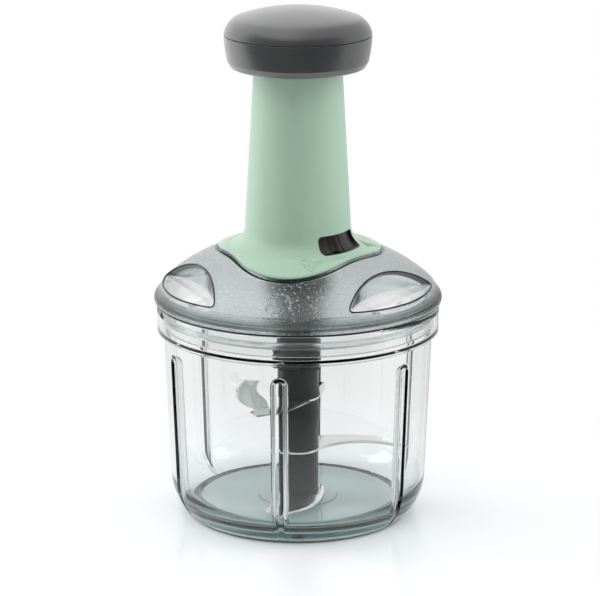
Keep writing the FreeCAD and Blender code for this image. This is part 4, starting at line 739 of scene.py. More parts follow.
# How far outside the column's edge and how deep each row of the channel lies.
CHANNEL = (
    (-0.4, -1.15), (0.0, -1.2), (0.5, -1.2), (0.8, -1.1), (1.3, -0.65), (1.8, -0.15), (2.1, -0.02),
    (2.7, 0.0))

# The lug is the notch's ramp with some play at both ends. Its lowest strip takes the painted dark edge, a
# painted shade line.
LUG_START = NOTCH_START + 1.4
LUG_END = NOTCH_END - 0.7
LUG_STRIP = 1.4

# The rim's lower edge takes the painted dark edge, a painted shade line, outside this radius and below this
# height.
DARK_EDGE = (66.9, 103.9)


def dome_height(radius, lift=0.0):
    """The height of the lid's outside, or of a surface that lies this far above it."""
    if radius < CROWN[0] and lift <= 0:
        return CROWN[1] + lift
    return dome_middle.y + math.sqrt((DOME + lift) ** 2 - (radius - dome_middle.x) ** 2)


def lobe_reach(angle):
    """How far the column's foot reaches at this angle."""
    return MEAN_REACH + sum(
        wave * math.cos(count * (angle - FRONT)) for count, wave in enumerate(FOOT_WAVES, 1))


lid_turns = sorted(full_turn(288) + [
    (middle + math.asin(end / COLLAR) + side) % math.tau
    for middle in NOTCH_MIDDLES for end in (LUG_START, LUG_END) for side in (-0.0006, 0.0006)])
lid_rings = []
lid_slots = []


def add_lid_row(slot, reach_at, level_at):
    """Adds a row to the lid, whose reach depends on the angle, and its level on the reach and angle."""
    reaches = [(turn, reach_at(turn)) for turn in lid_turns]
    lid_rings.append([around(reach, turn, level_at(reach, turn)) for turn, reach in reaches])
    lid_slots.append(slot)


for radius, level in (
        (CROWN_HOLE, CROWN_INSIDE), (CROWN_HOLE, HOUSING_SEAT), (20.0, HOUSING_SEAT), (26.0, HOUSING_SEAT)):
    add_lid_row(FROSTED, lambda turn: radius, lambda reach, turn: level)
# The first three rows of the channel, under the column's foot, take the painted dark edge: painted shade in
# the crevice.
for number, (beyond, sunk) in enumerate(CHANNEL):
    add_lid_row(
        DARK if number < 3 else FROSTED, lambda turn: lobe_reach(turn) + beyond,
        lambda reach, turn: dome_height(reach) + sunk)
for step in range(1, DOME_ROWS + 1):
    def out_to_crease(turn):
        start = lobe_reach(turn) + CHANNEL[-1][0]
        return start + (CREASE_START - start) * (step / DOME_ROWS)

    add_lid_row(FROSTED, out_to_crease, lambda reach, turn: dome_height(reach))

# From the crease over the rolled rim to the face of the lug, and up inside.
inside = False
for radius, height in contour([
    (CREASE_START, dome_height(CREASE_START), 0), (*CREASE, 0.9), (65.1, 108.9, 1.2), (66.6, 106.8, 0.8),
    (67.3, 106.0, 0.6), (67.6, 104.8, 0.8), (67.375, 103.85, 0), (67.15, LID_FOOT, 0.35),
    (66.15, LID_FOOT, 0), (LUG_EDGE, LID_FOOT, 0), (LUG_FACE, LID_FOOT, 0), (LID_INNER, LID_FOOT, 0),
    (LID_INNER, 106.6, 0.6), (62.3, dome_height(62.3, -LID_WALL), 0.6),
    (INNER_EDGE, dome_height(INNER_EDGE, -LID_WALL), 0),
], closed=False)[1:]:
    at_foot = height < LID_FOOT + 0.1
    inside = inside or (radius <= LUG_FACE and at_foot)

    def down_the_lug(reach, turn):
        lug = ramp_depth(turn, LUG_START, LUG_END, False) if reach <= LUG_EDGE and at_foot else 0.0
        return height - (lug if reach <= LUG_FACE else max(lug - LUG_STRIP, lug * 0.2))

    dark = (radius > DARK_EDGE[0] and height < DARK_EDGE[1]) or radius == LUG_EDGE
    add_lid_row(POLISHED if inside else DARK if dark else FROSTED, lambda turn: radius, down_the_lug)
for step in range(1, DOME_ROWS + 1):
    radius = INNER_EDGE + (INNER_FLAT[0] - INNER_EDGE) * step / DOME_ROWS
    level = min(dome_height(radius, -LID_WALL), CROWN_INSIDE)
    add_lid_row(POLISHED, lambda turn: radius, lambda reach, turn: level)
add_lid_row(POLISHED, lambda turn: INNER_FLAT[1], lambda reach, turn: CROWN_INSIDE)

# Styrene acrylonitrile, smoke tinted and frosted by a blasted mould: silvery where light stands
# behind it, dark where the housing does, with a sparkle of 0.9 mm grains and 1.2 mm specks, coarser than
# the real ones so that they show. The solid rim is darker.
frosted, tree, place = new_material("frosted_smoke_plastic")
dents = grained(tree, place, 0.0009, 0.6, 0.00025, Roughness=0.6)[1]
height = add_node(tree, "SeparateXYZ", [place]).outputs["Z"]
below_crease, above_lip = [
    add_node(tree, "MapRange", (height, *limits, 0.0, 1.0), **SOFT)
    for limits in ((0.1105, 0.1075), (0.1045, 0.1058))]
solid = add_node(tree, "MULTIPLY", (below_crease, above_lip))
smoke = add_node(tree, "Mix", {"Factor": solid, 6: linear("DAE2E1"), 7: linear("747E7B")}, data_type="RGBA")
specks = add_node(tree, "TexNoise", {"Vector": place, "Scale": 1 / 0.0012, "Detail": 1.0})
clearness = add_node(tree, "MapRange", (specks, 0.58, 0.68, 0.96, 0.6))
frost = add_node(tree, "BsdfPrincipled", {
    "Base Color": smoke.outputs[2], "Roughness": 0.24, "IOR": CLEAR_IOR, "Transmission Weight": clearness,
    "Normal": dents})
end_clear(tree, frost, "E2E8E8")


def polished_smoke(name, colour, clearness):
    """The same plastic where the mould is polished."""
    material, tree, place = new_material(name)
    clear = add_node(tree, "BsdfPrincipled", {
        "Base Color": linear(colour), "Roughness": 0.1, "IOR": CLEAR_IOR, "Transmission Weight": clearness,
        "Normal": flow_ripples(tree, place)})
    end_clear(tree, clear, "E2E8E8")
    return material


# Polished inside the lid: clear, so that the housing shows as a dark shape.
polished = polished_smoke("polished_smoke_plastic", "EEF3F2", 1.0)
# Polished and a little milky in the scoops, where the flow of the plastic is broken: they look white.
scoop_plastic = polished_smoke("milky_scoop_plastic", "FFFFFF", 0.82)
# Painted shade: an opaque dark plastic stands in for the dark lines that the clear plastic shows at the rim's
# lower edge, the lug's lowest strip and the scoop beads, and for the shade in the channel round the column's
# foot.
painted_edge_shade = moulded("painted_dark_edge_plastic", "1E2423", 0.24, 0.0008, 0.1, shine=0.2)

# A scoop reaches from its peak out to its edge, between two tips. Its floor falls outwards.
SCOOP_PEAK = 47.55
SCOOP_EDGE = 63.55
SCOOP_HALF = math.radians(31.0)
SCOOP_DROP = 9.1
SCOOP_FALL = 3.2
SCOOP_WIDTH = 16.0
SCOOP_WALL = 1.8
SCOOP_TURNS = (math.radians(-30), math.radians(90), math.radians(210))
ABOVE_ALL = 140.0


def scoop_outline(grow, steps=28):
    """The eye-shaped outline of a scoop, seen from above, with its middle on the x axis."""
    tip = SCOOP_EDGE - 0.8 + grow
    tip_x, tip_y = tip * math.cos(SCOOP_HALF), tip * math.sin(SCOOP_HALF)
    points = []
    for reach, direction in ((SCOOP_EDGE + grow, 1), (SCOOP_PEAK - grow, -1)):
        bulge = abs(reach - tip_x)
        radius = (tip_y ** 2 + bulge ** 2) / (2 * bulge)
        half = math.asin(tip_y / radius)
        side = 1 if reach > tip_x else -1
        centre = reach - side * radius
        for step in range(steps):
            turn = (-half + 2 * half * step / steps) * direction
            points.append((centre + side * radius * math.cos(turn), radius * math.sin(turn)))
    for smoothing in range(3):
        points = [
            tuple((points[index - 1][axis] + 2 * point[axis] + points[(index + 1) % len(points)][axis]) / 4
                  for axis in (0, 1))
            for index, point in enumerate(points)]
    return points


def scoop_body(name, turn, grow, top=None):
    """The room of a scoop up to its top, or the thicker block round it, which ends below the dome."""
    mesh = bmesh.new()
    outline = scoop_outline(grow)
    low, high = [], []
    for x, y in outline:
        floor = dome_height(SCOOP_PEAK) - SCOOP_DROP - grow - (x - SCOOP_PEAK) * SCOOP_FALL / SCOOP_WIDTH
        level = top or dome_height(math.hypot(x, y)) - 1.0
        low += add_points(mesh, [(*spun(x, y, turn), floor)])
        high += add_points(mesh, [(*spun(x, y, turn), level)])
    mesh.faces.new(low)
    if top:
        mesh.faces.new(high)
    else:
        steps = len(outline) // 2
        mesh.faces.new((high[0], high[1], high[-1]))
        for index in range(1, steps - 1):
            mesh.faces.new((high[index], high[index + 1], high[-index - 1], high[-index]))
        mesh.faces.new((high[steps - 1], high[steps], high[steps + 1]))
    for face in add_band(mesh, low, high):
        face.material_index = 1
    body = add_object(name, finished(mesh))
    body.data.materials.append(scoop_plastic)
    body.data.materials.append(polished)
    return body


def plain_result(body, *tools):
    """The plain mesh that a body's modifiers make. The body and its tools leave the scene."""
    bpy.context.view_layer.update()
    result = bpy.data.meshes.new_from_object(body.evaluated_get(bpy.context.evaluated_depsgraph_get()))
    body.modifiers.clear()
    for leftover in (body, *tools):
        bpy.data.objects.remove(leftover)
    return result


def carved(mesh, tools, operation, crisp=None):
    """A mesh after tools are joined to it or cut from it. Cut faces take the tool's material."""
    body = add_object("blank", mesh)
    for tool in tools:
        change = body.modifiers.new("change", "BOOLEAN")
        change.operation = operation
        change.object = tool
        change.solver = "EXACT"
        change.material_mode = "TRANSFER"
    result = plain_result(body, *tools)
    if crisp:
        for face in result.polygons:
            face.use_smooth = True
        result.set_sharp_from_angle(angle=math.radians(crisp))
    return result


lid_mesh = ring_mesh(lid_rings, slots=lid_slots)
for plastic in (frosted, polished, painted_edge_shade):
    lid_mesh.materials.append(plastic)
blocks = [scoop_body(f"block_{number}", turn, SCOOP_WALL) for number, turn in enumerate(SCOOP_TURNS)]
lid_mesh = carved(lid_mesh, blocks, "UNION")
rooms = [scoop_body(f"room_{number}", turn, 0.0, ABOVE_ALL) for number, turn in enumerate(SCOOP_TURNS)]
lid_mesh = carved(lid_mesh, rooms, "DIFFERENCE", crisp=35)
fit_piece("frosted_lid", lid_mesh, "lid", frosted, "frosted_lid", "lid_shell")

# Scoop rims
# The mould leaves a fine round bead of the same plastic along the edge of each scoop. It takes the painted
# dark edge, a painted shade that draws the scoop's outline as a dark line.
BEAD = 0.35
BEAD_SIDES = 10
beads = bmesh.new()
for scoop_turn in SCOOP_TURNS:
    path = [
        Vector((*spun(x, y, scoop_turn), dome_height(math.hypot(x, y)) + 0.05))
        for x, y in scoop_outline(0.1, 40)]
    rings = []
    for index, point in enumerate(path):
        along = (path[(index + 1) % len(path)] - path[index - 1]).normalized()
        side = along.cross(Vector((0, 0, 1))).normalized()
        up = side.cross(along)
        rings.append(add_points(beads, [
            point + side * math.cos(turn) * BEAD + up * math.sin(turn) * BEAD
            for turn in full_turn(BEAD_SIDES)]))
    for before, after in zip(rings[-1:] + rings, rings):
        for step in range(BEAD_SIDES):
            beads.faces.new((before[step - 1], after[step - 1], after[step], before[step]))
fit_piece("scoop_rims", finished(beads), "lid", painted_edge_shade, "frosted_lid")

# Inner cover
# A clear disc with a skirt that closes the lid from below and carries the gasket. It is moulded of
# the same plastic as the bowl and held by the lid's rim.
fit_piece("clear_cover", turned([
    (10.6, 104.3, 0.3), (60.3, 104.3, 0.8), (60.3, 92.2, 0.3), (62.9, 92.2, 0.4), (62.9, 96.0, 0.1),
    (61.7, 96.0, 0.1), (61.7, 99.2, 0.1), (62.9, 99.2, 0.1), (62.9, 104.3, 0.2), (64.7, 104.3, 0.3),
    (64.7, 106.3, 0.3), (10.6, 106.3, 0.3),
]), "lid", clear_san, "clear_cover", "inner_cover")

# Mint column
# The handle is one moulding of mint ABS. Its foot flares out and lies in the lid's channel, with a wide
# lobe in front and a shorter one each side. A window lets the lock through, and screws hold it from below.
COLUMN_TOP = 212.2
TOP_RADIUS = 20.6
LOW_RADIUS = 24.8
FLARE_START = 140.0
FLARE_MIDDLE = (34.49, 138.9)
FLARE_RADIUS = 9.75
FLARE_END = 33.5
SKIRT_LIFT = 1.3
SKIRT_SEAT = 0.15
SHELL_FLOOR = 128.55
SHELL_TOP = 130.6
SHELL_HOLE = 15.6
SHELL_EDGE = 24.0


def new_rule(name, sizes, **others):
    """A Geometry Nodes tree with a named input for each size and what else it takes."""
    rule = bpy.data.node_groups.new(name, "GeometryNodeTree")
    rule.interface.new_socket("Geometry", in_out="OUTPUT", socket_type="NodeSocketGeometry")
    for socket, kind in {"Geometry": "Geometry", **dict.fromkeys(sizes, "Float"), **others}.items():
        rule.interface.new_socket(socket, in_out="INPUT", socket_type="NodeSocket" + kind)
    return rule, add_node(rule, "NodeGroupInput").outputs


def end_rule(rule, geometry, material):
    """Ends a tree: what it made becomes plain mesh in this material."""
    plain = add_node(rule, "GeometryNodeRealizeInstances", [geometry])
    painted = add_node(rule, "GeometryNodeSetMaterial", {"Geometry": plain, "Material": material})
    add_node(rule, "NodeGroupOutput", [painted])


def built(rule, values, mesh=None):
    """The plain mesh that a tree makes, with these values on its named inputs."""
    body = add_object("blank", mesh or bpy.data.meshes.new("blank"))
    change = body.modifiers.new("rule", "NODES")
    change.node_group = rule
    for item in rule.interface.items_tree:
        if item.item_type == "SOCKET" and item.in_out == "INPUT" and item.name in values:
            change[item.identifier] = values[item.name]
    return plain_result(body)


# The rule of the foot: each point of the skirt lies at a share of the way out to the lobed edge,
# first on the hollow of the flare and then on an arc above the lid. Four waves make the edge.
skirt_sizes = {name: size / 1000 for name, size in {
    "Mean Reach": MEAN_REACH, "Column Radius": LOW_RADIUS, "Flare Radius": FLARE_RADIUS,
    "Flare Middle X": FLARE_MIDDLE[0], "Flare Middle Z": FLARE_MIDDLE[1], "Flare End": FLARE_END,
    "Skirt Lift": SKIRT_LIFT, "Dome Radius": DOME, "Dome Middle X": dome_middle.x,
    "Dome Middle Z": dome_middle.y, **{f"Wave {count}": wave for count, wave in enumerate(FOOT_WAVES, 1)},
}.items()}
skirt_sizes["Front"] = FRONT
rule, sizes = new_rule("lobed_skirt", skirt_sizes, Plastic="Material")
share, lift, on_skirt = [
    add_node(rule, "GeometryNodeInputNamedAttribute", [name], data_type="FLOAT")
    for name in ("share", "lift", "on_skirt")]
point = add_node(rule, "SeparateXYZ", [add_node(rule, "GeometryNodeInputPosition")]).outputs
angle = add_node(rule, "ARCTAN2", (point["Y"], point["X"]))
from_front = add_node(rule, "SUBTRACT", (angle, sizes["Front"]))
edge = sizes["Mean Reach"]
for count in range(1, len(FOOT_WAVES) + 1):
    wave = add_node(rule, "COSINE", [add_node(rule, "MULTIPLY", (from_front, float(count)))])
    edge = add_node(rule, "MULTIPLY_ADD", (wave, sizes[f"Wave {count}"], edge))
spread = add_node(rule, "SUBTRACT", (edge, sizes["Column Radius"]))
reach = add_node(rule, "MULTIPLY_ADD", (spread, share, sizes["Column Radius"]))


def drop_on_arc(radius, middle):
    """How far an arc lies above or below its middle where the skirt reaches to."""
    across = add_node(rule, "SUBTRACT", (reach, middle))
    squares = [add_node(rule, "MULTIPLY", (length, length)) for length in (radius, across)]
    square = add_node(rule, "MAXIMUM", (add_node(rule, "SUBTRACT", squares), 0.0))
    return add_node(rule, "SQRT", [square])


flare_drop = drop_on_arc(sizes["Flare Radius"], sizes["Flare Middle X"])
flare_level = add_node(rule, "SUBTRACT", (sizes["Flare Middle Z"], flare_drop))
flat_lift = add_node(rule, "SUBTRACT", (lift, sizes["Skirt Lift"]))
flare_level = add_node(rule, "ADD", (flare_level, flat_lift))
lifted_dome = add_node(rule, "ADD", (sizes["Dome Radius"], lift))
dome_rise = drop_on_arc(lifted_dome, sizes["Dome Middle X"])
dome_level = add_node(rule, "ADD", (dome_rise, sizes["Dome Middle Z"]))
past_flare = add_node(rule, "GREATER_THAN", (reach, sizes["Flare End"]))
level = add_node(rule, "Mix", {"Factor": past_flare, "A": flare_level, "B": dome_level}, data_type="FLOAT")
new_x, new_y = [
    add_node(rule, "MULTIPLY", (add_node(rule, wave, [angle]), reach)) for wave in ("COSINE", "SINE")]
place = add_node(rule, "CombineXYZ", (new_x, new_y, level))
chosen = add_node(rule, "FunctionNodeCompare", (on_skirt, 0.5), data_type="FLOAT", operation="GREATER_THAN")
moved = add_node(rule, "GeometryNodeSetPosition", {
    "Geometry": sizes["Geometry"], "Selection": chosen, "Position": place})
end_rule(rule, moved, sizes["Plastic"])

# ABS, moulded and left satin: mint, with a grain of 0.6 mm and a soft wide highlight.
mint = moulded("satin_mint_abs", "B0CEB8", 0.32, 0.0006, 0.12, mottle=0.01)

# Rows of the shell, from the hole in its floor outwards under the foot, back over the foot, up outside and
# down inside. On the tube each is (radius, height), and on the foot (share of the way out, lift above the
# lid).
shell_rows = [
    ("tube", SHELL_HOLE, SHELL_TOP), ("tube", SHELL_HOLE, SHELL_FLOOR), ("tube", SHELL_EDGE, SHELL_FLOOR)]
shell_rows += [("under", out, SKIRT_SEAT) for out in (0.1, 0.4, 0.7, 0.9)]
shell_rows += [("skirt", *row) for row in (
    (0.965, SKIRT_SEAT), (0.985, 0.2), (0.996, 0.4), (1.0, 0.62), (1.0, 0.8), (0.995, 1.05), (0.982, 1.22),
    (0.965, SKIRT_LIFT), (0.93, SKIRT_LIFT), *[(0.9 - 0.9 * step / 27, SKIRT_LIFT) for step in range(28)])]
shell_rows += [("tube", *row) for row in contour([
    (LOW_RADIUS, FLARE_START, 0), (TOP_RADIUS, COLUMN_TOP, 0.6), (19.4, COLUMN_TOP, 0.15), (19.4, 210.6, 0.1),
    (18.2, 210.6, 0), (22.4, FLARE_START, 0, 12.15), (25.6, SHELL_TOP, 0),
], closed=False)[1:]]
column_turns = full_turn(288)
shell_rings = []
for kind, first, second in shell_rows:
    ring = []
    for turn in column_turns:
        radius, height = first, second
        if kind == "under":
            radius = SHELL_EDGE + (lobe_reach(turn) * 0.965 - SHELL_EDGE) * first
            height = SHELL_FLOOR if radius < CROWN[0] else min(dome_height(radius, second), SHELL_FLOOR)
        elif kind == "skirt":
            # These points only wait here, in their order, until the rule puts them in their place.
            radius, height = LOW_RADIUS + 14 * first, 130.0
        ring.append(around(radius, turn, height))
    shell_rings.append(ring)
column_mesh = ring_mesh(shell_rings)
marks = [column_mesh.attributes.new(name, "FLOAT", "POINT").data for name in ("share", "lift", "on_skirt")]
for number, (kind, first, second) in enumerate(shell_rows):
    if kind == "skirt":
        for index in range(number * len(column_turns), (number + 1) * len(column_turns)):
            for mark, value in zip(marks, (first, second / 1000, 1.0)):
                mark[index].value = value
column_mesh = built(rule, {**skirt_sizes, "Plastic": mint}, column_mesh)

# The window's cut walls take a black nylon: painted shade for the dark gap round the slider.
window_wall_shade = moulded("painted_window_shade_nylon", "1A1A1A", 0.4, 0.0005, 0.2)
WINDOW_MIDDLE = math.radians(-32.0)
WINDOW_HALF = math.radians(28.5)
WINDOW_REACH = 27.0
WINDOW_DEPTH = (17.5, 42.0)
WINDOW_LOW = 130.3
WINDOW_HIGH = 138.1
WINDOW_ROUND = 2.2
WINDOW_CUT = 1.2

window_side = WINDOW_HALF * WINDOW_REACH
outline = contour([
    (-window_side, WINDOW_LOW, WINDOW_ROUND), (window_side, WINDOW_LOW, WINDOW_ROUND),
    (window_side, WINDOW_HIGH, WINDOW_ROUND), (-window_side, WINDOW_HIGH, WINDOW_ROUND)])
longer = []
for (x, y), (next_x, next_y) in zip(outline, outline[1:] + outline[:1]):
    cuts = max(1, round(math.hypot(next_x - x, next_y - y) / WINDOW_CUT))
    longer += [(x + (next_x - x) * cut / cuts, y + (next_y - y) * cut / cuts) for cut in range(cuts)]
wedge = bmesh.new()
inner, outer = [
    add_points(wedge, [around(radius, WINDOW_MIDDLE + x / WINDOW_REACH, y) for x, y in longer])
    for radius in WINDOW_DEPTH]
wedge.faces.new(inner)
wedge.faces.new(outer)
add_band(wedge, inner, outer)
window_tool = add_object("window_tool", finished(wedge))
window_tool.data.materials.append(window_wall_shade)
column_mesh = carved(column_mesh, [window_tool], "DIFFERENCE", crisp=38)
fit_piece("mint_column", column_mesh, "lid", mint, "mint_plastic", "column_shell")

# Marks
# Two padlocks and an arrow, moulded 0.2 to 0.4 mm proud of the foot beside the window: a shut one on the
# left and an open one on the right. A small arch of the lid's plastic stands before them.


def foot_point(turn, out, proud):
    """A point this far from the axis on the column's foot, in millimetres, and proud of it."""
    level = dome_height(out, SKIRT_LIFT)
    if out < FLARE_END:
        level = FLARE_MIDDLE[1] - math.sqrt(max(FLARE_RADIUS ** 2 - (FLARE_MIDDLE[0] - out) ** 2, 0))
    return around(out, turn, level + proud)


def lid_point(turn, out, proud):
    """A point on the lid's dome, proud of it."""
    return around(out, turn, dome_height(out, proud))


def raised_line(mesh, surface, turn, out, tilt, width, proud, stretch, path):
    """A narrow raised line on the foot or lid. Its path is given across and up the mark, in millimetres.

    A mark on the falling foot is stretched down the slope, so that it looks upright from in front.
    """
    rows = []
    for index, (x, y) in enumerate(path):
        along = (Vector(path[min(index + 1, len(path) - 1)]) - Vector(path[max(index - 1, 0)])).normalized()
        side = Vector((-along.y, along.x)) * width / 2
        row = []
        for sign, height in ((1, -0.15), (0.7, proud), (-0.7, proud), (-1, -0.15)):
            across, up = spun(x + side.x * sign, y + side.y * sign, tilt)
            radius = out - up * stretch
            row.append(surface(turn + across / radius, radius, height))
        rows.append(add_points(mesh, row))
    add_layers(mesh, rows)


def bow(half_width, height, steps):
    """The half-round top of a padlock's shackle or of the arch."""
    return [
        (-half_width * math.cos(math.pi * step / steps), height * math.sin(math.pi * step / steps))
        for step in range(steps + 1)]


SLOPE = 1.5
CASE = [(-1.9, -1.7), (-1.9, 1.2), (1.9, 1.2), (1.9, -1.7), (-1.9, -1.7), (-1.9, -1.3)]
KEYHOLE = [(0, -0.5), (0, 0.2)]
ARROW = (math.radians(-65.4), 34.6, 0.0, 0.55, 0.4, SLOPE)
lock_marks = bmesh.new()
for turn, out, tilt, lift, swing, larger, proud in (
    (math.radians(-73.6), 37.0, 0.85, 0.0, 0.0, 1.25, 0.35),
    (math.radians(6.0), 33.9, -0.6, 0.4, 0.9, 0.95, 0.22),
):
    shackle = [(-1.25, 1.3 + lift)] + [(x, 2.4 + lift + y) for x, y in bow(1.25, 1.25, 8)]
    for path in (CASE, shackle + [(1.25, 1.3 + lift + swing)], KEYHOLE):
        path = [(x * larger, y * larger) for x, y in path]
        raised_line(lock_marks, foot_point, turn, out, tilt, 0.5, proud, SLOPE, path)
raised_line(lock_marks, foot_point, *ARROW, [(-1.5, 0.0), (1.3, 0.0)])
raised_line(lock_marks, foot_point, *ARROW, [(0.4, 0.9), (1.4, 0.0), (0.4, -0.9)])
fit_piece("lock_marks", finished(lock_marks, smooth=False), "lid", mint, "mint_plastic")

lid_mark = bmesh.new()
raised_line(
    lid_mark, lid_point, math.radians(-90.4), 57.7, 0.0, 0.85, 0.5, 1.0,
    [(-5.4, -3.4), *bow(5.1, 4.0, 12), (5.4, -3.4)])
fit_piece("lid_mark", finished(lid_mark, smooth=False), "lid", frosted, "frosted_lid")

# Lock slider
# A dark nylon slide behind the window. Its plate follows the flare, and a rounded thumb ridge in the
# middle stands out through the window; a bolt on its back reaches in to the plunger.
SLIDE_MIDDLE = -38.0
SLIDE_HALF = 36.0
SLIDE_FACE = 1.55
SLIDE_BACK = 2.85
SLIDE_LOW = 128.9
SLIDE_HIGH = 140.2
SLIDE_ROWS = 36
SLIDE_COLUMNS = 144
RIDGE_HALF = 9.0
RIDGE_LOW = WINDOW_LOW + 0.3
RIDGE_HIGH = WINDOW_HIGH - 0.3
BOLT_HALF = 5
BOLT_SECTION = ((15.5, 132.4), (23.4, 132.4), (23.4, 135.6), (15.5, 135.6))

# How far each rib stands out, where its middle lies along the slide and how wide it is.
THUMB_RIBS = ((2.1, -2.0, 2.3), (0.8, 6.8, 1.4), (0.5, -7.4, 1.0))


def flare_face(height, behind):
    """How far from the axis a face lies that runs this far behind the flare."""
    drop = min(abs(height - FLARE_MIDDLE[1]), FLARE_RADIUS)
    return FLARE_MIDDLE[0] - math.sqrt((FLARE_RADIUS + behind) ** 2 - drop ** 2)


def ridge_rise(along, height):
    """How far the thumb ridge, with its broad rib and two fine ones, stands out of the slide here."""
    if abs(along) >= RIDGE_HALF or not RIDGE_LOW < height < RIDGE_HIGH:
        return 0.0
    crown = math.sqrt(1 - (abs(along) / RIDGE_HALF) ** 4) ** 0.9
    ends = min(1.0, (height - RIDGE_LOW) / 0.6, (RIDGE_HIGH - height) / 0.6)
    ribs = sum(size * math.exp(-((along - middle) / width) ** 2) for size, middle, width in THUMB_RIBS)
    return (0.6 + ribs) * crown * ends


slide = bmesh.new()
slide_rows = []
heights = [SLIDE_LOW + (SLIDE_HIGH - SLIDE_LOW) * step / SLIDE_ROWS for step in range(SLIDE_ROWS + 1)]
for step in range(SLIDE_COLUMNS + 1):
    along = -SLIDE_HALF + 2 * SLIDE_HALF * step / SLIDE_COLUMNS
    turn = math.radians(SLIDE_MIDDLE + along)
    row = [
        around(flare_face(height, SLIDE_FACE - ridge_rise(along, height)), turn, height)
        for height in heights]
    row += [around(flare_face(height, SLIDE_BACK), turn, height) for height in reversed(heights)]
    slide_rows.append(add_points(slide, row))
for lower, upper in zip(slide_rows, slide_rows[1:]):
    add_band(slide, lower, upper)
for end in (slide_rows[0], slide_rows[-1]):
    for index in range(len(heights) - 1):
        slide.faces.new((end[index], end[index + 1], end[-index - 2], end[-index - 1]))
add_layers(slide, [
    add_points(slide, [
        around(radius, math.radians(SLIDE_MIDDLE + side), height) for radius, height in BOLT_SECTION])
    for side in (-BOLT_HALF, 0, BOLT_HALF)])

# Nylon, moulded and a little glossy all over, as the thumb rubs it.
slide_nylon = moulded("rubbed_black_nylon", "34312F", 0.3, 0.0005, 0.2)
fit_piece("lock_slide", finished(slide, crisp=50), "lock", slide_nylon, "dark_plastic", "lock_slider")

# Guide bush, plunger and its rod holder
# A white acetal bush in the column's mouth guides a grey nylon tube. The tube carries the knob, and a
# long post inside it holds the twisted rod that turns the nut.

# Acetal, moulded: natural white, waxy and slippery.
acetal = moulded(
    "natural_acetal", "E6E4DC", 0.32, 0.0008, 0.08, mottle=0.01, Coat_Weight=0.15, Coat_Roughness=0.28)
finish_cad(acetal, "top_bush", "bearing_cap", "upper_washer", "lower_washer", "drive_nut", "clutch_ring")
# Nylon, moulded: the plunger's even mid grey, rubbed smooth by the bush.
plunger_nylon = moulded("grey_nylon", "6B6D70", 0.3, 0.0005, 0.1)
finish_cad(plunger_nylon, "plunger_tube")

# Springs
# Drawn spring wire, wound cold and cut square. The long one lifts the knob, the short one presses the
# ratchet ring down and flattens as that ring clicks up over its teeth.
CLUTCH_WIRE = 0.0007
CLUTCH_TURNS = 3.5

# Drawn wire: grey and half bright, with fine marks of 0.4 mm.
spring_wire = metal("drawn_spring_wire", "A6A8AB", 0.3, (2500, 2500, 2500), 0.15)
finish_cad(spring_wire, "return_spring")

rule, sizes = new_rule(
    "wound_spring", ("Coil Radius", "Wire Radius", "Turns", "Foot", "Rise"), Metal="Material")
helix = add_node(rule, "GeometryNodeCurveSpiral", {
    "Resolution": 40, "Rotations": sizes["Turns"], "Start Radius": sizes["Coil Radius"],
    "End Radius": sizes["Coil Radius"], "Height": sizes["Rise"]})
wire = add_node(rule, "GeometryNodeCurvePrimitiveCircle", {"Resolution": 12, "Radius": sizes["Wire Radius"]})
coil = add_node(rule, "GeometryNodeCurveToMesh", {"Curve": helix, "Profile Curve": wire, "Fill Caps": True})
foot = add_node(rule, "CombineXYZ", {"Z": sizes["Foot"]})
coil = add_node(rule, "GeometryNodeTransform", {"Geometry": coil, "Translation": foot})
end_rule(rule, coil, sizes["Metal"])

spring_low, spring_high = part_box("clutch_spring")
spring_length = spring_high[2] - spring_low[2]
spring_mesh = built(rule, {
    "Coil Radius": (spring_high[0] - spring_low[0] - CLUTCH_WIRE) / 2, "Wire Radius": CLUTCH_WIRE / 2,
    "Turns": CLUTCH_TURNS, "Foot": spring_low[2] + CLUTCH_WIRE / 2, "Rise": spring_length - CLUTCH_WIRE,
    "Metal": spring_wire})
ratchet_spring = fit_piece("ratchet_spring", spring_mesh, "nut", spring_wire, "spring_steel", "clutch_spring")
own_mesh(ratchet_spring)

# Screws
# Zinc-plated pan head screws with a cross recess. Three hold the drive housing and the column to the
# lid from below, and three hold the knob to the plunger's flange.
rule, sizes = new_rule("ring_of_screws", (
    "Circle", "Seat", "Length", "Head Radius", "Head Height", "Shank Radius", "First Angle", "Flip", "Recess",
), Count="Int", Metal="Material")
top_radius, slot_long, slot_wide, slot_deep, half_down = [
    add_node(rule, "MULTIPLY", (sizes[size], share)) for size, share in (
        ("Head Radius", 0.72), ("Head Radius", 1.15), ("Head Radius", 0.26), ("Recess", 2.0),
        ("Length", -0.5))]
head = add_node(rule, "GeometryNodeMeshCone", {
    "Vertices": 40, "Side Segments": 3, "Fill Segments": 3, "Radius Bottom": sizes["Head Radius"],
    "Radius Top": top_radius, "Depth": sizes["Head Height"]})
head = add_node(rule, "GeometryNodeMeshBoolean", {"Mesh 1": head}, operation="DIFFERENCE", solver="EXACT")
at_face = add_node(rule, "CombineXYZ", {"Z": sizes["Head Height"]})
for slot in ((slot_long, slot_wide, slot_deep), (slot_wide, slot_long, slot_deep)):
    arm = add_node(rule, "GeometryNodeMeshCube", [add_node(rule, "CombineXYZ", slot)])
    arm = add_node(rule, "GeometryNodeTransform", {"Geometry": arm, "Translation": at_face})
    rule.links.new(arm.outputs[0], head.inputs["Mesh 2"])
shank = add_node(rule, "GeometryNodeMeshCylinder", {
    "Vertices": 24, "Radius": sizes["Shank Radius"], "Depth": sizes["Length"]})
below = add_node(rule, "CombineXYZ", {"Z": half_down})
shank = add_node(rule, "GeometryNodeTransform", {"Geometry": shank, "Translation": below})
screw = add_node(rule, "GeometryNodeJoinGeometry")
for part in (shank, head):
    rule.links.new(part.outputs[0], screw.inputs[0])
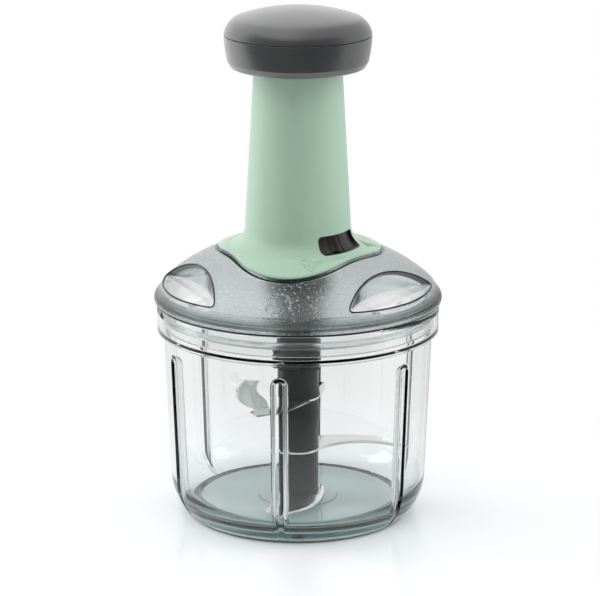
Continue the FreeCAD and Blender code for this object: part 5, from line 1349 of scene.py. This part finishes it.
flip, seat, first_angle = [
    add_node(rule, "CombineXYZ", {axis: sizes[size]})
    for axis, size in (("X", "Flip"), ("Z", "Seat"), ("Z", "First Angle"))]
screw = add_node(rule, "GeometryNodeTransform", {"Geometry": screw, "Rotation": flip})
circle = add_node(rule, "GeometryNodeMeshCircle", {"Vertices": sizes["Count"], "Radius": sizes["Circle"]})
circle = add_node(rule, "GeometryNodeTransform", {
    "Geometry": circle, "Translation": seat, "Rotation": first_angle})
screws = add_node(rule, "GeometryNodeInstanceOnPoints", {"Points": circle, "Instance": screw})
end_rule(rule, screws, sizes["Metal"])

# Zinc plate on steel: pale, faintly mottled.
zinc = metal("zinc_plated_steel", "B9BCBF", 0.34, (900, 900, 900), 0.15)
for name, node, body, circle_radius, seat, length, first, flip in (
    ("knob_fixings", "knob_screws", "knob", 22.5, 225.2, 8.0, -60.0, 0.0),
    ("housing_fixings", "housing_screws", "lid", 19.2, 124.2, 14.1, -95.0, math.pi),
):
    screw_mesh = built(rule, {
        "Circle": circle_radius / 1000, "Seat": seat / 1000, "Length": length / 1000, "Head Radius": 0.0026,
        "Head Height": 0.0018, "Shank Radius": 0.00125, "First Angle": math.radians(first), "Flip": flip,
        "Recess": 0.001, "Count": 3, "Metal": zinc})
    fit_piece(name, screw_mesh, body, zinc, "screw_steel", node)

# Knob
# Two shells of dark grey ABS with a soft satin paint. The cap's lip drops into the skirt and leaves a
# fine black seam between them; the cap's top is a shallow dome.

# ABS with soft-touch paint: dark grey, nearly dull, with a broad pale sheen on top.
knob_paint = moulded(
    "soft_touch_grey_abs", "3A3B3D", 0.3, 0.0004, 0.12, mottle=0.02, shine=0.9, Coat_Weight=1.0,
    Coat_Roughness=0.28, Coat_IOR=1.75, Sheen_Weight=0.08)
for name, closed, section in (
    ("knob_skirt", True, [
        (15.5, 212.8, 0.2), (28.8, 212.8, 1.0), (31.2, 213.6, 1.5), (32.7, 216.4, 1.6, 60.0),
        (34.2, 228.3, 0.3), (31.9, 228.3, 0.1), (31.9, 221.7, 0.1), (30.4, 216.4, 0.8), (28.6, 215.2, 0.6),
        (15.5, 215.2, 0.1)]),
    ("knob_cap", False, [
        (0, 238.9, 0), (27.0, 234.4, 0.8), (29.6, 229.4, 0.4), (29.6, 222.3, 0.2), (31.6, 222.3, 0.2),
        (31.6, 228.6, 0.05), (34.2, 228.6, 0.3, 10.0), (28.7, 236.3, 0, 86.5), (0, 241.2, 0)]),
):
    fit_piece(name, turned(section, 160, closed), "knob", knob_paint, "grey_plastic", name)
